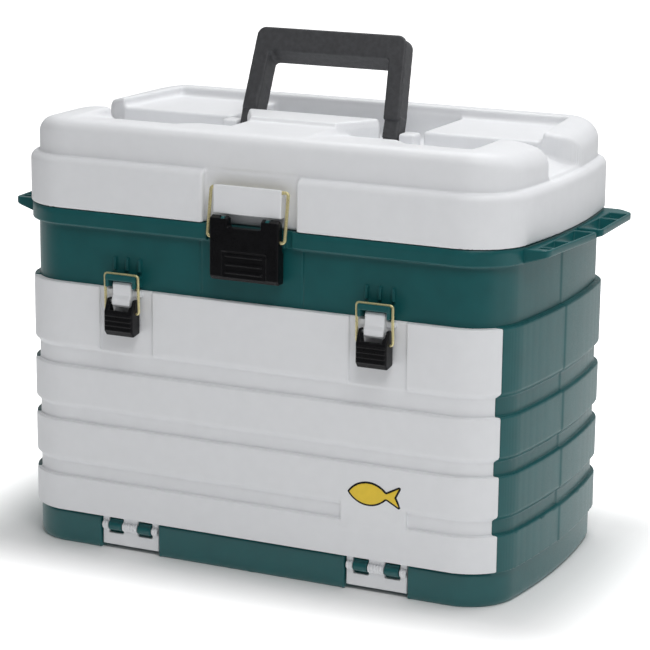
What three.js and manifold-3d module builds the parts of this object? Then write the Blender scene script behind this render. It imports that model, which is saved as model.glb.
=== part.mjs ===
// Four-drawer fishing tackle box: a moulded case with a front door, four drawers, a lift-out tray and a
// hinged lid with a folding handle. Millimetres, +Z up, front at -Y. The origin is at the middle of the
// base on the ground.
import * as THREE from "three";
import { mergeVertices } from "three/addons/utils/BufferGeometryUtils.js";
import Module from "manifold-3d";

const wasm = await Module();
wasm.setup();

// ---------------------------------------------------------------- driving dimensions
const GAP = 0.4; // between pieces that fit together
const WALL = 2.6; // moulded skin
const SIDES = [-1, 1]; // left and right
const FAR = 400; // reaches past the box in any direction
const WIDE = [-FAR, FAR];
const PIN_FIT = 0.3; // between a pin and its bore

// The plan outline: straight front and rear, bowed sides, round corners.
const PLAN = { halfWidth: 274.7, halfDepth: 154, corner: 56, sideRadius: 753.6 };

const CASE = {
  baseTop: 34,
  floor: 37,
  shelf: 272,
  doorTop: 274.9,
  shelfTop: 275.6,
  rimBottom: 333,
  rimTop: 350,
};
const BASE_INSET = -4.5;
const BASE_INNER = -9;
const GROOVE = -4.3;
const UPPER_INSET = -6;
// Raised bands: bottom and top height of each. The skin tapers into the groove under a band.
const BANDS = [
  [34, 72.2],
  [90.5, 130.5],
  [148.5, 188.8],
  [211, 274.9],
];
const TAPER = 4;
const DOOR_SEAM_Y = -132.4;
const FRAME_INNER_Y = -128.7;
const BAY = { halfOpening: 235.2, top: 270 };

const LID = { bottom: 350.4, ledge: 393.5, ledgeTop: 401.6, top: 438, lower: 1, upper: -8, fillet: 13 };
// The lid's top sinks towards both ends.
const DROOP = { start: 222, run: 44, depth: 10 };
// The hollow across the lid: raised between inner, level beyond outer. A ramp in front of each handle leg
// runs into it.
const VALLEY = { front: -46, rear: 14, floor: 404.6, raised: 413, inner: 240, outer: 261 };
const RAMP = { start: -120, low: 428.5, halfWidth: 212 };
const PLATFORM = { halfWidth: 73, neck: 48, front: -60, shoulder: -16, rear: -10, top: 442 };
const POCKET = { halfWidth: 108, rear: 117, floor: 403.2 };
const PAN = { rear: 118, frontHalf: 234, rearHalf: 222, floor: 428 };
const LID_HINGE = { y: 159.6, z: 351, radius: 4, pin: 1.7, x: 150 };

const DOOR_BOTTOM = 35.2; // clear of the base top as the door swings
const DOOR_HINGE = { y: -146, z: 25, radius: 5.2, pin: 2.4, x: 137 };
const SEAT = { half: 36, front: -149.4, back: -120.8, pocketHalf: 33.4, step: -142.4, roof: 30.6 };
const PLATE = {
  halfWidth: 32.5,
  bottom: 4.5,
  front: -147,
  back: -143.6,
  holeIn: 8.5,
  holeOut: 25,
  holeBottom: 17,
};

const MAIN = {
  half: 37,
  pivotY: -160,
  pivotZ: 356.5,
  bottom: 298,
  front: -165,
  bailZ: 339.5,
  wire: 1.6,
  pin: 1.6,
};
const MAIN_RIBS = [306.6, 314.5, 323];
const MAIN_TAB = { half: 36.5, front: -158.2, back: -155.4, bottom: 362, top: 390 };
const MAIN_RECESS = { half: 50.5, y: -146.2 };
const MAIN_LUG = { inner: 22, outer: 26, radius: 4.4 };
const MAIN_BAIL = { half: 41.5, barY: -152.3, barZ: 386.8, inner: 34.6 };

const SMALL = {
  x: 137,
  half: 16,
  pivotY: -160,
  pivotZ: 263.5,
  bottom: 229.5,
  front: -169,
  bailZ: 252.5,
  wire: 1.4,
  pin: 1.5,
};
const SMALL_RIBS = [236, 241, 246, 251];
const SMALL_BAIL = { half: 18.6, barZ: 291.2, inner: 13.6 };
const CHANNEL = { half: 29.8, floor: -151 };
const KEEPER = {
  half: 16.6,
  post: 3,
  bottom: 278,
  top: 289.3,
  barBottom: 285,
  front: -165,
  lipTop: 291,
};

const HANDLE = {
  y: 4.7,
  z: 417,
  lean: 18.7,
  length: 105.6,
  thickness: 23.5,
  footHalf: 88.8,
  topHalf: 82.6,
};
const HANDLE_LEG = 17.5;
const HANDLE_BAR = 23.5;
const HANDLE_PIN = 2.5;
// A thinner foot goes down to the pivot from the shoulder where the full leg ends.
const HANDLE_FOOT = { inner: 18, outer: 0.6, shoulder: 20, front: -9.5, back: 7.5 };
const EAR = { inner: 90.3, outer: 107, front: -7, back: 12, bottom: 402, top: 427.6 };

// The bait racks: their outer edge on the right, and the slots through them.
const RACK_FRONT = { start: -116, corner: [290.5, -107], end: [300, -3.4] };
const RACK_REAR = { start: [300.6, 9.8], bend: [297.6, 102], corner: [290, 118], end: 126 };
const RACK_SLOTS = {
  front: [
    [-104, -97],
    [-93.5, -62],
    [-58.5, -6.6],
  ],
  rear: [
    [13, 66.5],
    [70, 99.5],
  ],
};
const RACK = { top: 348, lipBottom: 341.5, bottom: 333.2, wall: 3, root: 262, slotRoot: 277 };

const DRAWER_COUNT = 4;
const DRAWER = {
  bottom: 38.5,
  pitch: 57.5,
  frontHeight: 55.3,
  frontHalf: 232,
  half: 225,
  rear: 132,
  height: 48,
};
const DRAWER_SKIN = 2.4;
const DRAWER_DIVIDERS = [-112, 0, 112];
const DRAWER_PARTITION = [9, 11.4];
const DRAWER_FRONT_Y = [-131.6, -128.4];
const DRAWER_RAIL = { low: 40, high: 43, reach: 231.5 };
const RUNNER = { inner: 235.7, outer: 238.7, ledge: 227.5, front: -126, rear: 134 };

const TRAY = { halfWidth: 248, halfDepth: 117, bottom: 294.4, top: 340, skin: 2.6, corner: 26 };
const TRAY_PARTITION = [18, 21];
const TRAY_DIVIDERS = [-124, 0, 124];
const TRAY_SHELF = { inner: 240, halfDepth: 88, low: 290.4, high: 294 };

// ---------------------------------------------------------------- materials
function plastic(colour, roughness) {
  return new THREE.MeshStandardMaterial({ color: colour, roughness, metalness: 0 });
}
const ivory = () => plastic(0xdcdfe0, 0.55);
const green = () => plastic(0x12504b, 0.45);
const charcoal = () => plastic(0x38393b, 0.7);
const black = () => plastic(0x0c0d0e, 0.4);
const brass = () => new THREE.MeshStandardMaterial({ color: 0xb59a52, roughness: 0.3, metalness: 1 });
const steel = () => new THREE.MeshStandardMaterial({ color: 0x9a9da0, roughness: 0.35, metalness: 1 });
const clear = () => plastic(0xcfd6d6, 0.25);

// ---------------------------------------------------------------- solids
function solid(geometry) {
  geometry.deleteAttribute("normal");
  geometry.deleteAttribute("uv");
  const merged = mergeVertices(geometry, 1e-4);
  return new wasm.Manifold(
    new wasm.Mesh({
      numProp: 3,
      vertProperties: new Float32Array(merged.attributes.position.array),
      triVerts: new Uint32Array(merged.index.array),
    }),
  );
}

function part(name, body, material) {
  const data = body.getMesh();
  const geometry = new THREE.BufferGeometry();
  geometry.setAttribute("position", new THREE.BufferAttribute(data.vertProperties, 3));
  geometry.setIndex(new THREE.BufferAttribute(data.triVerts, 1));
  geometry.computeVertexNormals();
  const mesh = new THREE.Mesh(geometry, material);
  mesh.name = name;
  return mesh;
}

function block([x0, x1], [y0, y1], [z0, z1]) {
  const geometry = new THREE.BoxGeometry(x1 - x0, y1 - y0, z1 - z0);
  geometry.translate((x0 + x1) / 2, (y0 + y1) / 2, (z0 + z1) / 2);
  return solid(geometry);
}

// A round bar along X.
function rod([x0, x1], y, z, radius, sides = 16) {
  const geometry = new THREE.CylinderGeometry(radius, radius, x1 - x0, sides);
  geometry.rotateZ(Math.PI / 2);
  geometry.translate((x0 + x1) / 2, y, z);
  return solid(geometry);
}

function shapeOf(points) {
  return new THREE.Shape(points.map(([a, b]) => new THREE.Vector2(a, b)));
}

// A plan outline pushed up from z0 to z1.
function slab(shape, [z0, z1], curveSegments = 6) {
  const geometry = new THREE.ExtrudeGeometry(shape, { depth: z1 - z0, bevelEnabled: false, curveSegments });
  geometry.translate(0, 0, z0);
  return solid(geometry);
}

// A side outline in (y, z) pushed along X.
function profile(points, [x0, x1]) {
  const geometry = new THREE.ExtrudeGeometry(shapeOf(points), { depth: x1 - x0, bevelEnabled: false });
  geometry.rotateX(Math.PI / 2);
  geometry.rotateZ(Math.PI / 2);
  geometry.translate(x0, 0, 0);
  return solid(geometry);
}

// A front outline in (x, z) pushed along Y.
function across(points, [y0, y1]) {
  const geometry = new THREE.ExtrudeGeometry(shapeOf(points), { depth: y1 - y0, bevelEnabled: false });
  geometry.rotateX(Math.PI / 2);
  geometry.translate(0, y1, 0);
  return solid(geometry);
}

// A closed body through rings of [x, y, z] points that all have the same count and go round anticlockwise.
function loft(rings) {
  const count = rings[0].length;
  const position = rings.flat(2);
  const index = [];
  rings.slice(1).forEach((ring, r) => {
    for (let i = 0; i < count; i++) {
      const a = r * count + i;
      const b = r * count + ((i + 1) % count);
      index.push(a, b, a + count, b, b + count, a + count);
    }
  });
  const last = (rings.length - 1) * count;
  for (let i = 1; i < count - 1; i++) {
    index.push(0, i + 1, i, last, last + i, last + i + 1);
  }
  const geometry = new THREE.BufferGeometry();
  geometry.setAttribute("position", new THREE.Float32BufferAttribute(position, 3));
  geometry.setIndex(index);
  return solid(geometry);
}

const union = (...bodies) => bodies.reduce((all, body) => all.add(body));
const cut = (body, ...cutters) => cutters.reduce((rest, cutter) => rest.subtract(cutter), body);
const mirrored = (build) => union(...SIDES.map(build));
const span = (side, a, b) => (side > 0 ? [a, b] : [-b, -a]);

// Points of the plan outline moved outwards by offset, anticlockwise from the front right.
function planOutline(offset, cornerSteps = 7, sideSteps = 4) {
  const cornerY = PLAN.halfDepth - PLAN.corner;
  const reach = PLAN.sideRadius - PLAN.corner;
  const joint = Math.asin(cornerY / reach);
  const sideCentre = PLAN.halfWidth - PLAN.sideRadius;
  const cornerX = sideCentre + reach * Math.cos(joint);
  const right = [];
  for (let i = 0; i <= cornerSteps; i++) {
    const angle = -Math.PI / 2 + (i / cornerSteps) * (Math.PI / 2 - joint);
    const radius = PLAN.corner + offset;
    right.push([cornerX + radius * Math.cos(angle), -cornerY + radius * Math.sin(angle)]);
  }
  for (let i = 1; i <= sideSteps / 2; i++) {
    const angle = -joint + (i / sideSteps) * 2 * joint;
    const radius = PLAN.sideRadius + offset;
    right.push([sideCentre + radius * Math.cos(angle), radius * Math.sin(angle)]);
  }
  const rear = right.slice(0, -1).reverse();
  const half = right.concat(rear.map(([x, y]) => [x, -y]));
  return half.concat(half.slice().reverse().map(([x, y]) => [-x, y]));
}

// A body whose outline is the plan outline, with its offset given at each height.
function tub(levels, cornerSteps, sideSteps) {
  return loft(
    levels.map(([z, offset]) => planOutline(offset, cornerSteps, sideSteps).map(([x, y]) => [x, y, z])),
  );
}

// Heights and offsets of the banded skin, from the base top to the door top, moved inwards by inset.
function bandLevels(inset = 0) {
  const levels = [];
  BANDS.forEach(([low, high], i) => {
    if (i > 0) levels.push([low - TAPER, GROOVE - inset]);
    levels.push([low, -inset]);
    levels.push([high - 0.6, -inset]);
    if (i < BANDS.length - 1) levels.push([high, GROOVE - inset]);
  });
  return levels;
}

// ---------------------------------------------------------------- case
function caseOuter() {
  return tub([
    [0, -8],
    [4, BASE_INSET],
    [CASE.baseTop - 0.2, BASE_INSET],
    ...bandLevels(),
    [CASE.doorTop, UPPER_INSET],
    [CASE.rimBottom - 0.5, UPPER_INSET],
    [CASE.rimBottom, 0],
    [CASE.rimTop, 0],
  ]);
}

// Room for the door: everything in front of its seam, and the strip in front of the shelf.
function doorSpace() {
  const below = block(WIDE, [-200, DOOR_SEAM_Y + GAP], [CASE.baseTop, CASE.shelf - 0.6]);
  const strip = block(WIDE, [-200, DOOR_SEAM_Y + GAP], [CASE.shelf - 0.7, CASE.doorTop + 0.6]);
  const shelfEdge = tub([
    [CASE.shelf - 2, UPPER_INSET],
    [CASE.shelfTop + 2, UPPER_INSET],
  ]);
  return union(below, strip.subtract(shelfEdge));
}

function drawerBay() {
  const room = block(WIDE, [FRAME_INNER_Y, 200], [CASE.floor, CASE.shelf - 0.6]);
  const inside = tub(bandLevels(WALL)).intersect(room);
  const opening = block(
    [-BAY.halfOpening, BAY.halfOpening],
    [-200, FRAME_INNER_Y + 1],
    [CASE.floor + 0.5, BAY.top],
  );
  return inside.add(opening);
}

function caseShellBody() {
  const topCompartment = tub([
    [CASE.shelfTop, UPPER_INSET - WALL],
    [CASE.rimTop + 1, UPPER_INSET - WALL],
  ]);
  const underside = (top) => tub([[-1, BASE_INNER], [top, BASE_INNER]]);
  const underBay = underside(CASE.floor - WALL).intersect(block(WIDE, [-126, 200], [-2, CASE.floor]));
  const crossRibs = union(
    block([-3, 3], [-145, 145], [0, CASE.baseTop - 1]),
    block([-262, 262], [-3, 3], [0, CASE.floor - 1]),
  );
  const hollows = [drawerBay(), topCompartment, underside(CASE.baseTop - WALL), underBay];
  return cut(caseOuter(), doorSpace(), ...hollows).add(crossRibs);
}

// Pockets in the base that the door's hinge plates swing into, with a knuckle in each hole of the plate.
function doorHingeSeats(body) {
  const { y, z, radius, pin, x } = DOOR_HINGE;
  const at = (side, half) => [side * x - half, side * x + half];
  const seat = (side) => block(at(side, SEAT.half), [SEAT.front, SEAT.back], [0, CASE.baseTop]);
  const pocket = (side) =>
    union(
      block(at(side, SEAT.pocketHalf), [-160, SEAT.step], [-1, 40]),
      block(at(side, SEAT.pocketHalf), [SEAT.step - 0.5, SEAT.back - WALL], [-1, SEAT.roof]),
    );
  const knuckle = (from) => {
    const width = PLATE.holeOut - PLATE.holeIn - 1.6;
    const reach = [from + 0.8, from + 0.8 + width];
    return cut(
      union(rod(reach, y, z, radius), block(reach, [y - 1, y + 11], [z + 3.4, z + 6.6])),
      rod([reach[0] - 1, reach[1] + 1], y, z, pin + PIN_FIT),
    );
  };
  const knuckles = (side) => union(knuckle(side * x - PLATE.holeOut), knuckle(side * x + PLATE.holeIn));
  return cut(body.add(mirrored(seat)), mirrored(pocket)).add(mirrored(knuckles));
}

function rackBody(top, low, slots, edgeAt) {
  const rim = (points, z) => points.map(([x, y]) => [x, y, z]);
  const plate = loft([rim(low, RACK.bottom), rim(top, RACK.lipBottom), rim(top, RACK.top)]);
  const holes = slots.map(([y0, y1]) =>
    slab(
      shapeOf([
        [RACK.slotRoot, y0],
        [edgeAt(y0) - RACK.wall, y0],
        [edgeAt(y1) - RACK.wall, y1],
        [RACK.slotRoot, y1],
      ]),
      [RACK.bottom - 5, RACK.top + 1],
    ),
  );
  return cut(plate, ...holes);
}

function frontRack() {
  const { start, corner, end } = RACK_FRONT;
  const top = [[RACK.root, start], corner, end, [RACK.root, end[1]]];
  const low = [[RACK.root, start + 2], [272, corner[1]], [274, end[1]], [RACK.root, end[1]]];
  const edgeAt = (y) => THREE.MathUtils.mapLinear(y, corner[1], end[1], corner[0], end[0]);
  return rackBody(top, low, RACK_SLOTS.front, edgeAt);
}

function rearRack() {
  const { start, bend, corner, end } = RACK_REAR;
  const top = [[RACK.root, start[1]], start, bend, corner, [RACK.root, end]];
  const low = [
    [RACK.root, start[1]],
    [274, start[1]],
    [273, bend[1]],
    [270, corner[1]],
    [RACK.root, end - 2],
  ];
  const edgeAt = (y) => THREE.MathUtils.mapLinear(y, start[1], bend[1], start[0], bend[0]);
  return rackBody(top, low, RACK_SLOTS.rear, edgeAt);
}

function baitRacks() {
  const right = union(frontRack(), rearRack());
  const compartment = tub([
    [CASE.rimBottom - 5, UPPER_INSET - WALL + 1],
    [CASE.rimTop + 5, UPPER_INSET - WALL + 1],
  ]);
  return cut(union(right, right.mirror([1, 0, 0])), compartment);
}

// Catches above the door for the small bails, with three short ribs over each.
function keepers() {
  const { half, post, bottom, top, barBottom, front, lipTop } = KEEPER;
  return mirrored((side) => {
    const x = side * SMALL.x;
    const frame = block([x - half, x + half], [front, -147], [bottom, top]);
    const mouth = block([x - half + post, x + half - post], [front - 1, -148], [bottom - 1, barBottom]);
    const behind = block([x - half + post, x + half - post], [front + 3, -148], [barBottom - 1, top + 1]);
    const lip = block([x - half, x + half], [front, front + 1.5], [top - 1, lipTop]);
    const rib = (dx) =>
      profile([[-147, 293], [-149.6, 294], [-148.6, 305], [-147, 306]], [x + dx - 1.2, x + dx + 1.2]);
    return union(cut(frame, mouth, behind), lip, rib(-14), rib(0), rib(14));
  });
}

// Lugs on the rim that carry the main lever, and notches beside it for the bail.
function mainLatchSeat(body) {
  const { pivotY, pivotZ } = MAIN;
  const lug = (side) => {
    const reach = span(side, MAIN_LUG.inner, MAIN_LUG.outer);
    const web = [
      [-152, 335],
      [-152, 349.6],
      [-155.8, 354],
      [pivotY, pivotZ + 2],
      [pivotY - 4, pivotZ - 2],
      [-157, 341],
      [-154.5, 335],
    ];
    const bore = rod([reach[0] - 1, reach[1] + 1], pivotY, pivotZ, MAIN.pin + PIN_FIT);
    return union(profile(web, reach), rod(reach, pivotY, pivotZ, MAIN_LUG.radius)).subtract(bore);
  };
  const notch = (side) => block(span(side, 38.6, 46), [-160, -150], [CASE.rimBottom - 1, CASE.rimTop + 1]);
  return cut(body, mirrored(notch)).add(mirrored(lug));
}

function lidHingeLugs() {
  const { y, z, radius, pin, x } = LID_HINGE;
  const lug = (centre, dx) => {
    const reach = [centre + dx, centre + dx + 12];
    const web = [
      [152.5, 338],
      [156, 338],
      [y + radius - 0.6, z - 2],
      [y, z],
      [155.7, z - 0.4],
      [154.4, 349.6],
      [152.5, 349.6],
    ];
    const knuckle = union(rod(reach, y, z, radius), profile(web, reach));
    return knuckle.subtract(rod([reach[0] - 1, reach[1] + 1], y, z, pin + PIN_FIT));
  };
  return mirrored((side) => union(lug(side * x, -20.4), lug(side * x, 8.4)));
}

function trayShelves() {
  const shelf = (side) => block(
    span(side, TRAY_SHELF.inner, 268),
    [-TRAY_SHELF.halfDepth, TRAY_SHELF.halfDepth],
    [TRAY_SHELF.low, TRAY_SHELF.high],
  );
  return mirrored(shelf).intersect(tub([[280, UPPER_INSET - 1], [300, UPPER_INSET - 1]]));
}

function bodyShell() {
  const shell = mainLatchSeat(doorHingeSeats(caseShellBody()));
  return union(shell, baitRacks(), keepers(), lidHingeLugs(), trayShelves());
}

// ---------------------------------------------------------------- lid
function lidOuter() {
  const levels = [
    [LID.bottom, LID.lower],
    [LID.ledge, LID.lower],
    [LID.ledge + 4.4, LID.lower - 1.6],
    [LID.ledgeTop, LID.lower - 6],
    [LID.ledgeTop + 0.2, LID.upper],
  ];
  const steps = 4;
  for (let i = 0; i <= steps; i++) {
    const angle = (i / steps) * (Math.PI / 2);
    levels.push([
      LID.top - LID.fillet + LID.fillet * Math.sin(angle),
      LID.upper - LID.fillet + LID.fillet * Math.cos(angle),
    ]);
  }
  return tub(levels).intersect(underTop(0)).add(raisedPlatform(0));
}

// Everything below the sinking top, which is moved down by inset.
function underTop(inset) {
  const steps = 4;
  const right = [];
  for (let i = 0; i <= steps; i++) {
    const t = i / steps;
    right.push([DROOP.start + t * DROOP.run, LID.top - inset - DROOP.depth * t * t]);
  }
  right.push([FAR, right.at(-1)[1]], [FAR, 0]);
  const left = right.map(([x, z]) => [-x, z]).reverse();
  return across([...left, ...right], WIDE);
}

// The outline of the platform in front of the handle, from y = start to its rear, shrunk by inset.
function platformOutline(start, inset) {
  const { halfWidth, neck, front, shoulder, rear } = PLATFORM;
  const right = [
    [neck - inset, start],
    [neck - inset, front],
    [halfWidth - inset, shoulder],
    [halfWidth - inset, rear - inset],
  ];
  const left = right.map(([x, y]) => [-x, y]).reverse();
  return shapeOf([...right, ...left]);
}

// The platform stands above the rest of the top.
function raisedPlatform(inset) {
  const heights = [PLATFORM.top - LID.fillet - inset, PLATFORM.top - inset];
  return slab(platformOutline(PLATFORM.front + inset - 1, inset), heights);
}

function lidInside() {
  return tub([
    [LID.bottom - 1, LID.lower - WALL],
    [LID.ledge, LID.lower - WALL],
    [LID.ledgeTop - WALL, LID.upper - WALL],
    [LID.top - LID.fillet, LID.upper - WALL],
    [LID.top - LID.fillet / 2 + 1, LID.upper - WALL - 3.4],
    [LID.top - WALL, LID.upper - LID.fillet],
  ])
    .intersect(underTop(WALL))
    .add(raisedPlatform(WALL));
}

// The hollows of the lid's upper side, grown by grow on the sides and below.
function lidHollows(grow) {
  const high = LID.top + 20;
  const wide = (half) => [-half - grow, half + grow];
  const { inner, outer, floor, raised } = VALLEY;
  const bed = [
    [-FAR, floor],
    [-outer, floor],
    [-inner, raised],
    [inner, raised],
    [outer, floor],
    [FAR, floor],
  ];
  const valley = across(
    [...bed.map(([x, z]) => [x, z - grow]), [FAR, high], [-FAR, high]],
    [VALLEY.front - grow, VALLEY.rear + grow],
  );
  const slope = [
    [RAMP.start, LID.top - grow],
    [VALLEY.front, RAMP.low - grow],
    [VALLEY.front, high],
    [RAMP.start, high],
  ];
  const ramp = (side) => profile(slope, span(side, PLATFORM.neck - grow, RAMP.halfWidth + grow));
  const platform = slab(platformOutline(RAMP.start - 5, grow), [VALLEY.floor - 20, high + 1]);
  const pocket = block(
    wide(POCKET.halfWidth),
    [PLATFORM.rear - grow, POCKET.rear + grow],
    [POCKET.floor - grow, high],
  );
  const pan = slab(
    shapeOf([
      [PAN.frontHalf + grow, VALLEY.rear - 1],
      [PAN.rearHalf + grow, PAN.rear + grow],
      [-PAN.rearHalf - grow, PAN.rear + grow],
      [-PAN.frontHalf - grow, VALLEY.rear - 1],
    ]),
    [PAN.floor - grow, high],
  );
  const recess = block(
    wide(MAIN_RECESS.half),
    [-200, MAIN_RECESS.y + grow],
    [LID.bottom - 5, LID.ledgeTop + 0.6 + grow],
  );
  const front = union(valley, mirrored(ramp)).subtract(platform);
  return union(front, pocket, pan, recess);
}

// The hook of the main latch: a plate that stands off the recess, with a ledge behind it for the bail.
function mainTab() {
  const { half, front, back, bottom, top } = MAIN_TAB;
  const wall = MAIN_RECESS.y + 1;
  return union(
    block([-half, half], [front, back], [bottom, top]),
    block(
      [-half, half],
      [back - 0.5, wall],
      [MAIN_BAIL.barZ - MAIN.wire - 4, MAIN_BAIL.barZ - MAIN.wire - 0.5],
    ),
    ...SIDES.map(
      (side) => block(
        span(side, half - 3, half),
        [back - 0.5, wall],
        [bottom, MAIN_BAIL.barZ - MAIN.wire - 0.5],
      ),
    ),
  );
}

// Ears in the handle pocket that hold the handle's pins.
function handleEars() {
  const ear = (side) => {
    const reach = span(side, EAR.inner, EAR.outer);
    const { front, back, bottom, top } = EAR;
    const outline = [
      [front, bottom],
      [back, bottom],
      [back, top - 2],
      [back - 2, top],
      [front + 3, top],
      [front, top - 3],
    ];
    return profile(outline, reach).subtract(
      rod([reach[0] - 1, reach[1] + 1], HANDLE.y, HANDLE.z, HANDLE_PIN + PIN_FIT),
    );
  };
  return mirrored(ear);
}

function lidKnuckles() {
  const { y, z, radius, pin, x } = LID_HINGE;
  const knuckle = (side) => {
    const reach = [side * x - 7.8, side * x + 7.8];
    const web = [[153.4, 352], [153.4, 366], [156, 366], [y + radius - 0.6, z + 2], [y, z - 1], [155.6, 351]];
    return union(rod(reach, y, z, radius), profile(web, reach)).subtract(
      rod([reach[0] - 1, reach[1] + 1], y, z, pin + PIN_FIT),
    );
  };
  return mirrored(knuckle);
}

function lidShell() {
  const inside = lidInside().subtract(lidHollows(WALL));
  const shell = cut(lidOuter(), lidHollows(0), inside);
  return union(shell, mainTab(), handleEars(), lidKnuckles());
}

// ---------------------------------------------------------------- handle
function handleSolid() {
  const { footHalf, topHalf, length, thickness } = HANDLE;
  const { shoulder, front, back } = HANDLE_FOOT;
  const corner = 9;
  const outline = new THREE.Shape();
  outline.moveTo(footHalf, shoulder);
  outline.lineTo(topHalf + 0.5, length - corner);
  outline.quadraticCurveTo(topHalf, length, topHalf - corner, length);
  outline.lineTo(-topHalf + corner, length);
  outline.quadraticCurveTo(-topHalf, length, -topHalf - 0.5, length - corner);
  outline.lineTo(-footHalf, shoulder);
  outline.lineTo(-footHalf + HANDLE_LEG, shoulder);
  outline.lineTo(-topHalf + HANDLE_LEG, length - HANDLE_BAR);
  outline.lineTo(topHalf - HANDLE_LEG, length - HANDLE_BAR);
  outline.lineTo(footHalf - HANDLE_LEG, shoulder);
  const frame = new THREE.ExtrudeGeometry(outline, {
    depth: thickness - 4,
    bevelThickness: 2,
    bevelSize: 1.6,
    bevelOffset: -1.6,
    bevelSegments: 2,
    curveSegments: 4,
  });
  frame.translate(0, 0, -thickness / 2 + 2);
  frame.rotateX(Math.PI / 2);
  const foot = (side) => {
    const reach = span(side, footHalf - HANDLE_FOOT.inner, footHalf - HANDLE_FOOT.outer);
    const sideView = [
      [-6, 0],
      [6, 0],
      [back, shoulder + 3],
      [front, shoulder + 3],
      [front, 4],
    ];
    const tongue = profile(sideView, reach);
    const bore = rod([reach[0] - 1, reach[1] + 1], 0, 0, HANDLE_PIN + PIN_FIT);
    return union(tongue, rod(reach, 0, 0, 6)).subtract(bore);
  };
  return union(solid(frame), mirrored(foot)).rotate([-HANDLE.lean, 0, 0]).translate([0, HANDLE.y, HANDLE.z]);
}

// ---------------------------------------------------------------- front door
function doorPlates() {
  const { y, z, radius, pin, x } = DOOR_HINGE;
  const { halfWidth, bottom, front, back, holeIn, holeOut, holeBottom } = PLATE;
  return mirrored((side) => {
    const at = (a, b) => [side * x + a, side * x + b];
    const plate = block(at(-halfWidth, halfWidth), [front, back], [bottom, 37]);
    const web = block(at(-halfWidth, halfWidth), [-152, back], [DOOR_BOTTOM, 37]);
    const holes = union(
      block(at(-holeOut, -holeIn), [front - 1, back + 1], [holeBottom, CASE.baseTop]),
      block(at(holeIn, holeOut), [front - 1, back + 1], [holeBottom, CASE.baseTop]),
    );
    const barrel = (a, b) => rod(at(a, b), y, z, radius - 0.2);
    const barrels = union(barrel(-halfWidth, -holeOut), barrel(-holeIn, holeIn), barrel(holeOut, halfWidth));
    return cut(union(plate.subtract(holes), web, barrels), rod(at(-40, 40), y, z, pin + PIN_FIT));
  });
}

// A raised block and cross bar in each latch channel, which carry the lever's pin.
function leverBlocks() {
  return mirrored((side) => {
    const at = (a, b) => [side * SMALL.x + a, side * SMALL.x + b];
    const post = profile(
      [
        [-150.6, 256],
        [-160, 258],
        [-164, 261],
        [-164, 266],
        [-161.5, 270],
        [-161.5, 281],
        [-160, 283],
        [-152, 283],
        [-150.6, 274],
      ],
      at(-10.3, 10.3),
    );
    const bar = block(at(-18.5, 18.5), [-155.6, -150.6], [269, 274.6]);
    return union(post, bar).subtract(rod(at(-20, 20), SMALL.pivotY, SMALL.pivotZ, SMALL.pin + PIN_FIT));
  });
}

function frontDoor() {
  const ends = (inset) => {
    const levels = bandLevels(inset);
    levels[levels.length - 1] = [CASE.doorTop, -inset];
    return levels;
  };
  const inner = ends(WALL);
  inner[0] = [CASE.baseTop - 2, -WALL];
  inner[inner.length - 1] = [CASE.doorTop + 2, -WALL];
  const levels = ends(0);
  levels[0] = [DOOR_BOTTOM, 0];
  const skin = cut(tub(levels), tub(inner)).intersect(block(WIDE, [-200, DOOR_SEAM_Y], [0, 400]));
  const bandTop = BANDS[3];
  const backing = (side) => block(
    [side * SMALL.x - 33, side * SMALL.x + 33],
    [-151.4, CHANNEL.floor + 2.6],
    [bandTop[0] - 3, bandTop[1]],
  );
  const channel = (side) => block(
    [side * SMALL.x - CHANNEL.half, side * SMALL.x + CHANNEL.half],
    [-170, CHANNEL.floor],
    [bandTop[0] - TAPER, bandTop[1] + 2],
  );
  return union(cut(skin.add(mirrored(backing)), mirrored(channel)), doorPlates(), leverBlocks());
}

// ---------------------------------------------------------------- latches
function mainLever() {
  const { half, pivotY, pivotZ, bottom, front } = MAIN;
  const side = [
    [front, bottom + 4],
    [front + 3, bottom],
    [-152, bottom],
    [-152, 328],
    [-154.8, 331],
    [-154.8, 351.6],
    [pivotY + 4.6, pivotZ + 1.6],
    [pivotY, pivotZ + 4.6],
    [front + 0.6, pivotZ + 2],
    [front, pivotZ - 3],
  ];
  const skin = profile(side, [-half, half]);
  const hollow = block([-half + 3, half - 3], [front + 3.2, -140], [bottom + 4, 348]);
  const window = block([-18, 18], [-180, -140], [350, 370]);
  const slot = (s) => span(s, MAIN_LUG.inner - 0.5, MAIN_LUG.outer + 0.5);
  const lugSlot = (s) => block(slot(s), [-180, -140], [346, 370]);
  const lugRoom = (s) => block(slot(s), [front + 3.2, -140], [330, 370]);
  const ribs = MAIN_RIBS.map((z) => block([-19, 19], [front - 0.9, front + 0.5], [z - 1, z + 1]));
  const bores = [
    rod(WIDE, pivotY, pivotZ, MAIN.pin + PIN_FIT),
    rod(WIDE, pivotY, MAIN.bailZ, MAIN.wire + PIN_FIT),
  ];
  return cut(union(skin, ...ribs), hollow, window, mirrored(lugSlot), mirrored(lugRoom), ...bores);
}

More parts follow.
